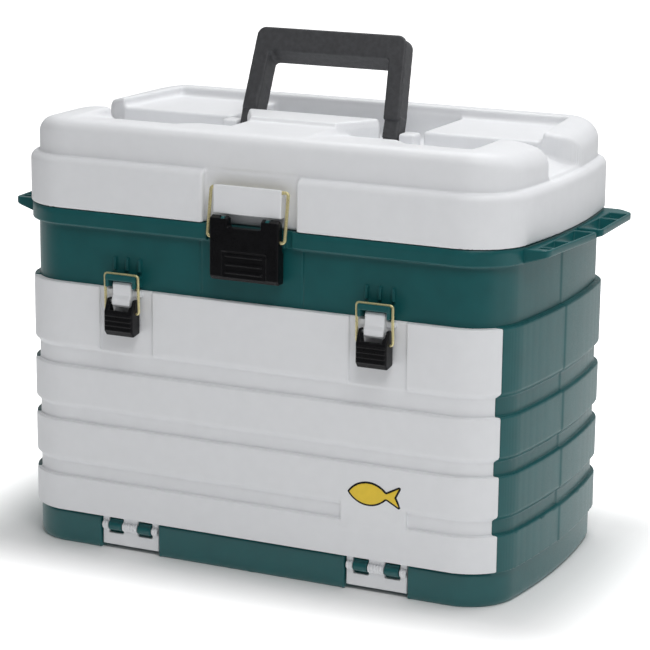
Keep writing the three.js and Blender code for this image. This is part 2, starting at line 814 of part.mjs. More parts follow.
function smallLever(x) {
  const { half, pivotY, pivotZ, bottom, front, bailZ, wire, pin } = SMALL;
  const side = [
    [front, bottom + 5],
    [front + 4, bottom],
    [-153, bottom + 2],
    [-153, 250],
    [-156, 257],
    [pivotY + 4, pivotZ],
    [pivotY + 2.6, pivotZ + 3.2],
    [pivotY - 2.6, pivotZ + 3.2],
    [front + 3, 260],
    [front, 254],
  ];
  const skin = profile(side, [x - half, x + half]);
  const hollow = block([x - half + 3, x + half - 3], [front + 3.4, -140], [bottom + 4, 280]);
  const slot = block([x - 10.8, x + 10.8], [-180, -140], [255.6, 280]);
  const ribs = SMALL_RIBS.map((z) =>
    block([x - half + 2, x + half - 2], [front - 0.9, front + 0.5], [z - 0.9, z + 0.9]));
  const bores = [rod(WIDE, pivotY, pivotZ, pin + PIN_FIT), rod(WIDE, pivotY, bailZ, wire + PIN_FIT)];
  return cut(union(skin, ...ribs), hollow, slot, ...bores);
}

// A path through given points, with one step of the extrusion from each point to the next.
class WirePath extends THREE.Curve {
  constructor(points) {
    super();
    this.points = points.map((point) => new THREE.Vector3(...point));
  }
  getPoint(t) {
    const place = Math.min(t, 1) * (this.points.length - 1);
    const before = Math.min(Math.floor(place), this.points.length - 2);
    return this.points[before].clone().lerp(this.points[before + 1], place - before);
  }
  getPointAt(t) {
    return this.getPoint(t);
  }
  getTangentAt(t) {
    const step = 0.3 / (this.points.length - 1);
    return this.getPoint(Math.min(t + step, 1)).sub(this.getPoint(Math.max(t - step, 0))).normalize();
  }
}

// A wire bail: two ends turned into the lever, two legs and a cross bar.
function bail(x, half, inner, [footY, footZ], [barY, barZ], wire) {
  const bend = 1.6 * wire;
  const up = new THREE.Vector2(barY - footY, barZ - footZ).normalize().multiplyScalar(bend);
  const soft = 0.3 * bend;
  const right = [
    [inner, footY, footZ],
    [half - bend, footY, footZ],
    [half - soft, footY + up.x * 0.3, footZ + up.y * 0.3],
    [half, footY + up.x, footZ + up.y],
    [half, barY - up.x, barZ - up.y],
    [half - soft, barY - up.x * 0.3, barZ - up.y * 0.3],
    [half - bend, barY, barZ],
  ];
  const left = right.map(([dx, y, z]) => [-dx, y, z]).reverse();
  const path = [...right, ...left].map(([dx, y, z]) => [x + dx, y, z]);
  const section = new THREE.Shape();
  section.absarc(0, 0, wire, 0, 2 * Math.PI);
  const options = { steps: path.length - 1, extrudePath: new WirePath(path), curveSegments: 8 };
  return new THREE.ExtrudeGeometry(section, options);
}

function latchPart(name, geometry) {
  return part(name, solid(geometry), brass());
}

// ---------------------------------------------------------------- drawers and tray
function drawerBody(low) {
  const { half, rear, height, frontHalf, frontHeight } = DRAWER;
  const top = low + height;
  const outer = block([-half, half], [DRAWER_FRONT_Y[1] - 0.5, rear], [low + 1, top]);
  const inner = (y0, y1) =>
    block([-half + DRAWER_SKIN, half - DRAWER_SKIN], [y0, y1], [low + 1 + DRAWER_SKIN, top + 1]);
  const frontBins = inner(DRAWER_FRONT_Y[1] + DRAWER_SKIN, DRAWER_PARTITION[0]);
  const rearBins = inner(DRAWER_PARTITION[1], rear - DRAWER_SKIN);
  const front = block([-frontHalf, frontHalf], DRAWER_FRONT_Y, [low, low + frontHeight]);
  const rails = mirrored(
    (side) => block(
      span(side, half - 1, DRAWER_RAIL.reach),
      [-124, rear],
      [low + DRAWER_RAIL.low, low + DRAWER_RAIL.high],
    ),
  );
  const pullShape = [
    [-131, low + 49],
    [-141, low + 48],
    [-141.6, low + 41],
    [-139.6, low + 41],
    [-139.2, low + 46],
    [-131, low + 46.6],
  ];
  return union(
    cut(outer, frontBins, rearBins),
    front,
    rails,
    profile(pullShape, [-62, 62]),
  );
}

function drawerDivider(low, x) {
  return block(
    [x - 1, x + 1],
    [DRAWER_FRONT_Y[1] + DRAWER_SKIN + GAP, DRAWER_PARTITION[0] - GAP],
    [low + 1 + DRAWER_SKIN + GAP, low + 42],
  );
}

function runnerPanel(side) {
  const plate = block(
    span(side, RUNNER.inner, RUNNER.outer),
    [RUNNER.front, RUNNER.rear],
    [CASE.floor + 0.6, BAY.top - 1],
  );
  const ledges = Array.from({ length: DRAWER_COUNT }, (_, i) => {
    const top = DRAWER.bottom + i * DRAWER.pitch + DRAWER_RAIL.low - GAP;
    return block(span(side, RUNNER.ledge, RUNNER.inner + 1), [RUNNER.front, RUNNER.rear], [top - 3, top]);
  });
  return union(plate, ...ledges);
}

function roundedPlan(halfWidth, halfDepth, radius) {
  const shape = new THREE.Shape();
  shape.moveTo(-halfWidth + radius, -halfDepth);
  shape.lineTo(halfWidth - radius, -halfDepth);
  shape.absarc(halfWidth - radius, -halfDepth + radius, radius, -Math.PI / 2, 0);
  shape.lineTo(halfWidth, halfDepth - radius);
  shape.absarc(halfWidth - radius, halfDepth - radius, radius, 0, Math.PI / 2);
  shape.lineTo(-halfWidth + radius, halfDepth);
  shape.absarc(-halfWidth + radius, halfDepth - radius, radius, Math.PI / 2, Math.PI);
  shape.lineTo(-halfWidth, -halfDepth + radius);
  shape.absarc(-halfWidth + radius, -halfDepth + radius, radius, Math.PI, 1.5 * Math.PI);
  return shape;
}

function liftOutTray() {
  const { halfWidth, halfDepth, bottom, top, skin, corner } = TRAY;
  const outer = slab(roundedPlan(halfWidth, halfDepth, corner), [bottom, top]);
  const inner = slab(
    roundedPlan(halfWidth - skin, halfDepth - skin, corner - skin),
    [bottom + skin, top + 1],
  );
  const partition = block([-halfWidth + 1, halfWidth - 1], TRAY_PARTITION, [bottom + 1, top - 6]);
  const grip = block([-60, 60], [TRAY_PARTITION[0] - 3, TRAY_PARTITION[1] + 3], [top - 8, top - 4]);
  return union(outer.subtract(inner), partition, grip);
}

function trayDivider(x) {
  return block(
    [x - 1, x + 1],
    [-TRAY.halfDepth + TRAY.skin + GAP, TRAY_PARTITION[0] - 3 - GAP],
    [TRAY.bottom + TRAY.skin + GAP, TRAY.top - 7],
  );
}

// ---------------------------------------------------------------- assembly
function pinPart(name, x, y, z, radius) {
  return part(name, rod(x, y, z, radius), steel());
}

function sideName(side) {
  return side < 0 ? "left" : "right";
}

const box = new THREE.Group();
box.add(part("body_shell", bodyShell(), green()));
box.add(part("lid_shell", lidShell(), ivory()));
box.add(part("handle", handleSolid(), charcoal()));
box.add(part("front_door", frontDoor(), ivory()));

box.add(part("main_latch_lever", mainLever(), black()));
const mainFoot = [MAIN.pivotY, MAIN.bailZ];
const mainBar = [MAIN_BAIL.barY, MAIN_BAIL.barZ];
box.add(latchPart("main_latch_bail", bail(0, MAIN_BAIL.half, MAIN_BAIL.inner, mainFoot, mainBar, MAIN.wire)));

for (const side of SIDES) {
  const name = sideName(side);
  const x = side * SMALL.x;
  const foot = [SMALL.pivotY, SMALL.bailZ];
  const bar = [SMALL.pivotY - 1.2, SMALL_BAIL.barZ];
  box.add(part(`${name}_latch_lever`, smallLever(x), black()));
  box.add(latchPart(`${name}_latch_bail`, bail(x, SMALL_BAIL.half, SMALL_BAIL.inner, foot, bar, SMALL.wire)));
  box.add(pinPart(`${name}_main_latch_pin`, span(side, 19.5, 36), MAIN.pivotY, MAIN.pivotZ, MAIN.pin));
  box.add(pinPart(`${name}_latch_pin`, [x - 15.4, x + 15.4], SMALL.pivotY, SMALL.pivotZ, SMALL.pin));
  box.add(
    pinPart(
      `${name}_door_hinge_pin`,
      [side * DOOR_HINGE.x - 32, side * DOOR_HINGE.x + 32],
      DOOR_HINGE.y,
      DOOR_HINGE.z,
      DOOR_HINGE.pin,
    ),
  );
  box.add(
    pinPart(
      `${name}_lid_hinge_pin`,
      [side * LID_HINGE.x - 20, side * LID_HINGE.x + 20],
      LID_HINGE.y,
      LID_HINGE.z,
      LID_HINGE.pin,
    ),
  );
  box.add(pinPart(`${name}_handle_pin`, span(side, 78, 95), HANDLE.y, HANDLE.z, HANDLE_PIN));
  box.add(part(`${name}_runner_panel`, runnerPanel(side), green()));
}

for (let i = 0; i < DRAWER_COUNT; i++) {
  const number = DRAWER_COUNT - i; // drawer_1 is the top one
  const low = DRAWER.bottom + i * DRAWER.pitch;
  box.add(part(`drawer_${number}`, drawerBody(low), clear()));
  DRAWER_DIVIDERS.forEach((x, d) => {
    box.add(part(`drawer_${number}_divider_${d + 1}`, drawerDivider(low, x), clear()));
  });
}

box.add(part("lift_out_tray", liftOutTray(), ivory()));
TRAY_DIVIDERS.forEach((x, i) => box.add(part(`tray_divider_${i + 1}`, trayDivider(x), clear())));

export default box;
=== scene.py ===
import math

import bpy
import numpy as np
import openvdb
from mathutils import Matrix, Vector


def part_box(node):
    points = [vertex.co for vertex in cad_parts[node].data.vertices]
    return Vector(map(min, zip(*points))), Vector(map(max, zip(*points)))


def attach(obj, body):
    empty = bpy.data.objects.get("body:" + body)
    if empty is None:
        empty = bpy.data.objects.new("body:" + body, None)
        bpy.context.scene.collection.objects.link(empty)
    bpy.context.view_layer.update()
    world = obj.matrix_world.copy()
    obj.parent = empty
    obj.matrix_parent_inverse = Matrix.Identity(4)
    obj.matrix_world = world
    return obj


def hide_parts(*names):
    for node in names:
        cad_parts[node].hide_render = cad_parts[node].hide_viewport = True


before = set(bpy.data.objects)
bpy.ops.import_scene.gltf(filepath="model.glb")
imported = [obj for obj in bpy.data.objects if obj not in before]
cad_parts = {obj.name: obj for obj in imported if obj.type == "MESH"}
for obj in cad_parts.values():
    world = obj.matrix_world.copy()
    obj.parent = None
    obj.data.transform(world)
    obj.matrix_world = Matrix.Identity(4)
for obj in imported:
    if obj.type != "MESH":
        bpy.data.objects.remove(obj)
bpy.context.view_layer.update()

MM = 0.001
COARSER = 1
MARGIN = 3  # empty sample steps round a shape
NARROW_BAND = 4  # sample steps over which distances are kept on either side of a surface
ADAPTIVITY = 0.02  # how far flat areas are simplified
SIDES = {"left": -1, "right": 1}
SKIN = 2.6  # thickness of the moulded walls


def node_box(name):
    """Lowest and highest corners of a CAD node, in millimetres."""
    low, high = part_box(name)
    return np.array(low) / MM, np.array(high) / MM


# ---------------------------------------------------------------- distance fields
# A shape is an array of signed distances on a Grid: negative inside, positive outside.


class Grid:
    """A box of sample points, from low to high, step apart."""

    def __init__(self, low, high, step):
        step = step * COARSER
        margin = MARGIN * step
        self.low = np.array(low, float) - margin
        self.step = step
        counts = np.ceil((np.array(high, float) + margin - self.low) / step).astype(int) + 1
        self.counts = tuple(counts)
        x, y, z = (self.low[i] + step * np.arange(counts[i]) for i in range(3))
        self.x = x.astype(np.float32)[:, None, None]
        self.y = y.astype(np.float32)[None, :, None]
        self.z = z.astype(np.float32)[None, None, :]


def clip(a, b, radius=0.0):
    """Where a and b meet, with the new outer edges rounded."""
    if radius <= 0:
        return np.maximum(a, b)
    rounded = np.hypot(np.maximum(a + radius, 0), np.maximum(b + radius, 0)) - radius
    return np.where((a > -radius) & (b > -radius), rounded, np.maximum(a, b))


def join(a, b, radius=0.0):
    """a and b together, with the new inner corners filled."""
    return -clip(-a, -b, radius)


def cut(a, b, radius=0.0):
    """a without b, with the new outer edges rounded."""
    return clip(a, -b, radius)


def slab(values, low, high):
    """Distance to the space between two parallel planes."""
    return np.abs(values - (low + high) / 2) - (high - low) / 2


def box(grid, xs, ys, zs, radius=0.0):
    """A block with all its edges rounded."""
    spans = [slab(v, *span) + radius for v, span in ((grid.x, xs), (grid.y, ys), (grid.z, zs))]
    outside = np.sqrt(sum(np.maximum(s, 0) ** 2 for s in spans))
    inside = np.minimum(np.maximum(np.maximum(spans[0], spans[1]), spans[2]), 0)
    return outside + inside - radius


def bar_x(grid, xs, y, z, radius, edge=0.0):
    """A round bar along X."""
    return clip(np.hypot(grid.y - y, grid.z - z) - radius, slab(grid.x, *xs), edge)


def outline_distance(u, v, points):
    """Signed distance from a closed outline of (u, v) points."""
    nearest = None
    inside = np.zeros(np.broadcast(u, v).shape, bool)
    for (u0, v0), (u1, v1) in zip(points, points[1:] + points[:1]):
        du, dv = u1 - u0, v1 - v0
        along = np.clip(((u - u0) * du + (v - v0) * dv) / (du * du + dv * dv), 0, 1)
        gap = np.hypot(u - u0 - along * du, v - v0 - along * dv)
        nearest = gap if nearest is None else np.minimum(nearest, gap)
        if v0 != v1:
            crosses = ((v0 > v) != (v1 > v)) & (u < du * (v - v0) / dv + u0)
            inside ^= crosses
    return np.where(inside, -nearest, nearest)


def prism_x(grid, xs, points, edge=0.0):
    """A side outline of (y, z) points pushed along X."""
    return clip(outline_distance(grid.y, grid.z, points), slab(grid.x, *xs), edge)


PLAN = {"half_width": 274.7, "half_depth": 154.0, "corner": 56.0, "side_radius": 753.6}


def plan_distance(x, y):
    """Signed distance from the case's plan outline: straight front and rear, bowed sides, round corners."""
    corner, side_radius = PLAN["corner"], PLAN["side_radius"]
    corner_y = PLAN["half_depth"] - corner
    joint = math.asin(corner_y / (side_radius - corner))
    side_centre = PLAN["half_width"] - side_radius
    corner_x = side_centre + (side_radius - corner) * math.cos(joint)
    ax, ay = np.abs(x), np.abs(y)
    at_corner = np.hypot(ax - corner_x, ay - corner_y) - corner
    at_side = np.hypot(ax - side_centre, ay) - side_radius
    at_front = ay - PLAN["half_depth"] + 0 * ax
    by_front = ax + 0 * ay < corner_x
    by_side = ay < (ax - side_centre) * math.tan(joint)
    nearer = np.where(by_front, at_front, at_side)
    straight = np.where(by_front & by_side, np.maximum(at_front, at_side), nearer)
    return np.where(by_front | by_side, straight, at_corner)


# ---------------------------------------------------------------- meshes
def sample(field, points):
    """The field at points given in grid steps, by linear interpolation."""
    limit = np.array(field.shape) - 2
    base = np.clip(np.floor(points).astype(int), 0, limit)
    part = points - base
    total = np.zeros(len(points))
    for dx in (0, 1):
        for dy in (0, 1):
            for dz in (0, 1):
                weight = (
                    (part[:, 0] if dx else 1 - part[:, 0])
                    * (part[:, 1] if dy else 1 - part[:, 1])
                    * (part[:, 2] if dz else 1 - part[:, 2])
                )
                total += weight * field[base[:, 0] + dx, base[:, 1] + dy, base[:, 2] + dz]
    return total


def add_piece(name, points, faces):
    """A smooth-shaded object from points in millimetres."""
    mesh = bpy.data.meshes.new(name)
    mesh.from_pydata((np.asarray(points) * MM).tolist(), [], faces)
    mesh.validate()
    mesh.update()
    mesh.shade_smooth()
    piece = bpy.data.objects.new(name, mesh)
    bpy.context.scene.collection.objects.link(piece)
    return piece


def field_mesh(name, grid, field):
    """The surface of a distance field as a smooth-shaded object."""
    reach = NARROW_BAND * grid.step
    field = np.array(np.broadcast_to(np.clip(field, -reach, reach), grid.counts), np.float32, order="C")
    volume = openvdb.FloatGrid(background=reach)
    volume.copyFromArray(field)
    points, triangles, quads = volume.convertToPolygons(isovalue=0.0, adaptivity=ADAPTIVITY)
    faces = triangles.tolist() + quads.tolist()
    normals = np.zeros((len(points), 3))
    for axis in range(3):
        shift = np.zeros(3)
        shift[axis] = 0.5
        normals[:, axis] = sample(field, points + shift) - sample(field, points - shift)
    normals /= np.maximum(np.linalg.norm(normals, axis=1), 1e-9)[:, None]
    piece = add_piece(name, points * grid.step + grid.low, faces)
    mesh = piece.data
    facing = sum(Vector(normals[f.vertices[0]]).dot(f.normal) for f in mesh.polygons[:200])
    if facing < 0:
        mesh.flip_normals()
    if len(mesh.vertices) == len(normals):
        mesh.normals_split_custom_set_from_vertices(normals.tolist())
    return piece


def wire(name, path, radius, sides=14):
    """A round wire along a path of points."""
    path = np.array(path, float)
    steps = np.gradient(path, axis=0)
    steps /= np.linalg.norm(steps, axis=1)[:, None]
    points, faces = [], []
    aside = np.cross(steps[0], (0.0, 0.3, 1.0))
    for centre, along in zip(path, steps):
        aside = aside - along * aside.dot(along)
        aside /= np.linalg.norm(aside)
        other = np.cross(along, aside)
        for k in range(sides):
            angle = 2 * math.pi * k / sides
            points.append(centre + radius * (math.cos(angle) * aside + math.sin(angle) * other))
    rings = len(path)
    for r in range(rings - 1):
        for k in range(sides):
            a, b = r * sides + k, r * sides + (k + 1) % sides
            faces.append((a, b, b + sides, a + sides))
    faces.append(tuple(reversed(range(sides))))
    faces.append(tuple(range((rings - 1) * sides, rings * sides)))
    return add_piece(name, points, faces)


def rounded_path(corners, radius, steps=8):
    """A path through corners, with each inner corner rounded."""
    corners = [np.array(c, float) for c in corners]
    path = [corners[0]]
    for before, corner, after in zip(corners, corners[1:], corners[2:]):
        start = corner + (before - corner) / np.linalg.norm(before - corner) * radius
        end = corner + (after - corner) / np.linalg.norm(after - corner) * radius
        for i in range(steps + 1):
            t = i / steps
            path.append((1 - t) ** 2 * start + 2 * t * (1 - t) * corner + t * t * end)
    path.append(corners[-1])
    return path


# ---------------------------------------------------------------- materials
def link(tree, a, out, b, inp):
    tree.links.new(a.outputs[out], b.inputs[inp])


def noise(tree, place, size, detail):
    """Noise whose features are about size millimetres across."""
    mapping = tree.nodes.new("ShaderNodeMapping")
    mapping.inputs["Scale"].default_value = [1 / (size * MM)] * 3
    link(tree, place, "Object", mapping, "Vector")
    node = tree.nodes.new("ShaderNodeTexNoise")
    node.inputs["Scale"].default_value = 1.0
    node.inputs["Detail"].default_value = detail
    link(tree, mapping, "Vector", node, "Vector")
    return node


NOISE_MIDDLE = (0.3, 0.7)  # the range that holds most of a noise's values
ROUGH_SPREAD = (-0.05, 0.07)  # how roughness varies over the grain


def ramp(tree, source, low, high):
    """Maps a noise's middle range onto low to high."""
    node = tree.nodes.new("ShaderNodeMapRange")
    node.inputs["From Min"].default_value, node.inputs["From Max"].default_value = NOISE_MIDDLE
    node.inputs["To Min"].default_value = low
    node.inputs["To Max"].default_value = high
    link(tree, source, "Fac", node, "Value")
    return node


def bump(tree, height, strength, distance):
    """Relief from a noise, distance in millimetres."""
    node = tree.nodes.new("ShaderNodeBump")
    node.inputs["Strength"].default_value = strength
    node.inputs["Distance"].default_value = distance * MM
    link(tree, height, "Fac", node, "Height")
    return node


def finish_material(name, colour, rough, mottle, grain, depth, metallic=0.0, specular=0.5):
    """A moulded or drawn surface: mottle is (size, amount) of its clouding, grain and depth its texture's."""
    material = bpy.data.materials.new(name)
    material.use_nodes = True
    tree = material.node_tree
    shader = tree.nodes["Principled BSDF"]
    place = tree.nodes.new("ShaderNodeTexCoord")
    clouds = noise(tree, place, mottle[0], 4.0)
    shade = ramp(tree, clouds, 1 - mottle[1], 1 + mottle[1])
    mix = tree.nodes.new("ShaderNodeVectorMath")
    mix.operation = "SCALE"
    mix.inputs[0].default_value = colour
    link(tree, shade, "Result", mix, "Scale")
    link(tree, mix, "Vector", shader, "Base Color")
    fine = noise(tree, place, grain, 3.0)
    roughness = ramp(tree, fine, rough + ROUGH_SPREAD[0], rough + ROUGH_SPREAD[1])
    link(tree, roughness, "Result", shader, "Roughness")
    relief = bump(tree, fine, 0.6, depth)
    waves = bump(tree, clouds, 0.5, 3 * depth)
    link(tree, relief, "Normal", waves, "Normal")
    link(tree, waves, "Normal", shader, "Normal")
    shader.inputs["Metallic"].default_value = metallic
    shader.inputs["Specular IOR Level"].default_value = specular
    return material


IVORY, GREEN, CHARCOAL = (0.80, 0.81, 0.83), (0.006, 0.094, 0.099), (0.055, 0.056, 0.06)
BLACK, BRASS, STEEL = (0.006, 0.006, 0.007), (0.80, 0.71, 0.38), (0.55, 0.56, 0.57)
DRAWER_GREY, YELLOW = (0.62, 0.67, 0.68), (0.83, 0.58, 0.03)
MATERIALS = {
    "ivory": finish_material("ivory_plastic", IVORY, 0.42, (14, 0.012), 1.1, 0.05, specular=0.4),
    "green": finish_material("green_plastic", GREEN, 0.34, (20, 0.06), 1.0, 0.05, specular=0.45),
    "charcoal": finish_material("charcoal_grip", CHARCOAL, 0.55, (5, 0.16), 1.0, 0.16),
    "black": finish_material("black_plastic", BLACK, 0.3, (8, 0.2), 0.8, 0.03, specular=0.2),
    "brass": finish_material("brass_wire", BRASS, 0.3, (6, 0.08), 0.7, 0.01, metallic=0.6),
    "steel": finish_material("steel_pin", STEEL, 0.3, (6, 0.06), 0.6, 0.01, metallic=1.0),
    "drawer": finish_material("drawer_plastic", DRAWER_GREY, 0.2, (16, 0.02), 1.4, 0.02, specular=0.6),
    "print": finish_material("yellow_print", YELLOW, 0.4, (6, 0.03), 0.8, 0.01),
}


def dress(piece, finish, body, *nodes):
    """Gives a piece its material and body, and hides the CAD nodes that it stands for."""
    piece.data.materials.clear()
    piece.data.materials.append(MATERIALS[finish])
    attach(piece, body)
    if nodes:
        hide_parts(*nodes)


# ---------------------------------------------------------------- case skin
CASE = {"base_top": 34, "shelf": 272, "door_top": 274.9, "rim_bottom": 333, "rim_top": 350, "floor": 37}
BANDS = [(34, 72.2), (90.5, 130.5), (148.5, 188.8), (211, 274.9)]
GROOVE, TAPER = 4.3, 4.0
UPPER_INSET = 6
DOOR_SEAM_Y, DOOR_BOTTOM = -132.4, 35.2
FRONT = -154.0
LATCH_X = 137
CHANNEL_HALF, CHANNEL_FLOOR = 29.8, -151
LABEL = {"from": 100, "to": 169.4, "low": 66, "high": 96}


def banded(grid, distance, bottom):
    """The case skin: a core with raised bands, crisp at their tops and tapered at their bottoms."""
    field = distance + GROOVE + 0 * grid.z
    lean = math.hypot(TAPER, GROOVE)
    for i, (low, high) in enumerate(BANDS):
        taper = (distance * TAPER - (grid.z - low) * GROOVE) / lean if i else bottom - grid.z
        band = clip(clip(distance, taper, 1.2), grid.z - high, 1.0)
        field = join(field, band, 0.8)
    return field


# ---------------------------------------------------------------- lid
# The ledge stands a little outside the case's plan, and the upper part inside it.
LID = {"bottom": 350.4, "ledge_top": 401.6, "top": 438, "ledge_out": 1, "upper_in": 8}
DROOP = {"start": 222, "run": 44, "depth": 10}  # how the top sinks towards both ends
VALLEY = {"front": -46, "rear": 14, "floor": 404.6, "raised": 413, "inner": 240, "outer": 261}
SWEEP = {"slope": 2.6, "bend": 247, "run": 5}  # how the valley's rear edge turns back at both ends
# The ramps down to the platform's sides. Beside the pocket they sink by extra over the blend.
RAMP = {"start": -120, "end": -50, "stop": -35, "low": 429, "extra": 3, "blend": 10, "half": 212}
PLATFORM = {"half": 73, "neck": 48, "front": -60, "shoulder": -16, "rear": -10, "top": 442}
POCKET = {"half": 108, "rear": 117, "floor": 403.2}
PAN = {"front": -10, "rear": 118, "half": 234, "taper": 0.115, "floor": 428}
RECESS_HALF, RECESS_Y = 50.5, -146.2  # the hollow in the front that holds the main latch's hook
HANDLE_EARS = {"reach": (90.3, 107), "deep": (-7, 12), "high": (400, 427.6)}


def platform_distance(grid, start):
    """Signed distance from the plan of the platform in front of the handle, from y = start to its rear."""
    right = [(PLATFORM["neck"], start), (PLATFORM["neck"], PLATFORM["front"])]
    right += [(PLATFORM["half"], PLATFORM["shoulder"]), (PLATFORM["half"], PLATFORM["rear"])]
    return outline_distance(grid.x, grid.y, right + [(-x, y) for x, y in reversed(right)])


def lid_hollows(grid):
    """The hollows of the lid's upper side: a valley across it, a pan behind and a pocket for the handle."""
    ax = np.abs(grid.x)
    fall = np.clip((ax - VALLEY["inner"]) / (VALLEY["outer"] - VALLEY["inner"]), 0, 1)
    bed = VALLEY["raised"] + (VALLEY["floor"] - VALLEY["raised"]) * fall
    sweep = np.maximum(ax - PAN["half"], 0) / SWEEP["slope"]
    sweep = sweep + np.maximum((ax - SWEEP["bend"]) / SWEEP["run"], 0) ** 2
    valley = clip(bed - grid.z, clip(VALLEY["front"] - grid.y, grid.y - VALLEY["rear"] - sweep), 4)
    run, drop = RAMP["end"] - RAMP["start"], LID["top"] - RAMP["low"]
    drop = drop + RAMP["extra"] * np.clip((ax - POCKET["half"]) / RAMP["blend"], 0, 1)
    rise = ((grid.z - LID["top"]) * run + (grid.y - RAMP["start"]) * drop) / np.hypot(run, drop)
    slope = clip(clip(-rise, slab(ax, PLATFORM["neck"], RAMP["half"]), 6), grid.y - RAMP["stop"])
    front = cut(join(valley, slope, 6), platform_distance(grid, RAMP["start"] - 5) + 0 * grid.z, 4)
    pan_half = PAN["half"] - (grid.y - VALLEY["rear"]) * PAN["taper"]
    pan = clip(clip(ax - pan_half, PAN["floor"] - grid.z, 5), slab(grid.y, PAN["front"], PAN["rear"]), 5)
    pan = clip(pan, VALLEY["rear"] - 2 - grid.y)
    pocket = clip(ax - POCKET["half"], slab(grid.y, PLATFORM["rear"], POCKET["rear"]), 5)
    pocket = clip(pocket, POCKET["floor"] - grid.z, 5)
    return [(front, 5), (pan, 3.5), (pocket, 2.5)]


def lid_shell():
    grid = Grid((-277, -157, LID["bottom"]), (277, 157, PLATFORM["top"]), 1.25)
    plan = plan_distance(grid.x, grid.y)
    lower = clip(plan - LID["ledge_out"], grid.z - LID["ledge_top"], 8)
    sunk = DROOP["depth"] * np.maximum((np.abs(grid.x) - DROOP["start"]) / DROOP["run"], 0) ** 2
    upper = clip(plan + LID["upper_in"], grid.z - LID["top"] + sunk, 13)
    solid = join(lower, upper, 1.5)
    raised = clip(platform_distance(grid, PLATFORM["front"] - 1), grid.z - PLATFORM["top"], 3)
    solid = join(solid, clip(raised, LID["ledge_top"] - grid.z), 3)
    for hollow, edge in lid_hollows(grid):
        solid = cut(solid, hollow, edge)
    recess = clip(np.abs(grid.x) - RECESS_HALF, grid.y - RECESS_Y, 2.5)
    recess = clip(recess, grid.z - LID["ledge_top"] - 0.6)
    solid = cut(solid, recess, 2.5)
    shell = clip(solid, -(solid + SKIN))
    shell = clip(shell, LID["bottom"] - grid.z, 0.8)
    for side in (1, -1):
        reach = sorted(side * x for x in HANDLE_EARS["reach"])
        ear = box(grid, reach, HANDLE_EARS["deep"], HANDLE_EARS["high"], 2.5)
        shell = join(shell, ear, 1.0)
    dress(field_mesh("lid_moulding", grid, shell), "ivory", "lid", "lid_shell")


TAB = {"half": 36.5, "front": -158.2, "back": -155.4, "bottom": 362, "top": 390}
MAIN_BAR = (-152.3, 386.8)
MAIN_WIRE = 1.6


def lid_tab():
    """The hook of the main latch."""
    wall = RECESS_Y + 1.5
    half, front, back = TAB["half"], TAB["front"], TAB["back"]
    ledge = MAIN_BAR[1] - MAIN_WIRE - 0.6
    grid = Grid((-half, front, TAB["bottom"]), (half, wall, TAB["top"]), 0.55)
    plate = box(grid, (-half, half), (front, back), (TAB["bottom"], TAB["top"]), 1.1)
    step = box(grid, (-half + 0.5, half - 0.5), (back - 1, wall), (ledge - 3.4, ledge), 0.5)
    field = join(plate, step, 1.0)
    for side in (-1, 1):
        reach = sorted((side * (half - 3.2), side * (half - 0.4)))
        web = box(grid, reach, (back - 1, wall), (TAB["bottom"], ledge), 0.6)
        field = join(field, web, 0.8)
    dress(field_mesh("lid_latch_tab", grid, field), "ivory", "lid")


LID_HINGE = {"y": 159.6, "z": 351, "radius": 4, "bore": 2.0, "x": 150}
LID_KNUCKLE_HALF = 7.8
RIM_KNUCKLE = {"starts": (-20.4, 8.4), "length": 12}


def lid_hinges():
    """Knuckles at the rear: the middle one on the lid, the outer two on the rim."""
    y, z, radius = LID_HINGE["y"], LID_HINGE["z"], LID_HINGE["radius"]
    lid_web = [(153.4, 352), (153.4, 366), (156, 366), (y + radius - 0.6, z + 2), (y, z - 1), (155.6, 351)]
    rim_web = [(152.5, 338), (156, 338), (y + radius - 0.6, z - 2), (y, z), (155.7, z - 0.4), (154.4, 349.6)]
    rim_web += [(152.5, 349.6)]
    for name, side in SIDES.items():
        centre = side * LID_HINGE["x"]
        grid = Grid((centre - 21, 152, 337), (centre + 21, 164, 367), 0.45)
        bore = np.hypot(grid.y - y, grid.z - z) - LID_HINGE["bore"]
        reach = (centre - LID_KNUCKLE_HALF, centre + LID_KNUCKLE_HALF)
        knuckle = join(bar_x(grid, reach, y, z, radius, 0.5), prism_x(grid, reach, lid_web, 0.5), 0.8)
        dress(field_mesh(f"{name}_lid_knuckle", grid, cut(knuckle, bore)), "ivory", "lid")
        field = None
        for start in RIM_KNUCKLE["starts"]:
            reach = (centre + start, centre + start + RIM_KNUCKLE["length"])
            lug = join(bar_x(grid, reach, y, z, radius, 0.5), prism_x(grid, reach, rim_web, 0.5), 0.8)
            field = lug if field is None else np.minimum(field, lug)
        dress(field_mesh(f"{name}_rim_knuckles", grid, cut(field, bore)), "green", "body")


# ---------------------------------------------------------------- case
BASE = {"inset": 4.5, "wall": 4.5, "rib_half": 3}
# Each door hinge has a seat in the base, with a pocket in its front and a deeper hollow behind.
SEAT = {"half": 36, "front": -149.3, "back": -120.8, "low": 0.3, "high": 33.8}
SEAT_POCKET = {"half": 33.4, "back": -142.4, "top": 30.6}
MOUTH = {"half": 235.2, "rear": -125, "top": 270}  # the opening that the drawers go through
ROOM_FRONT = -128.7


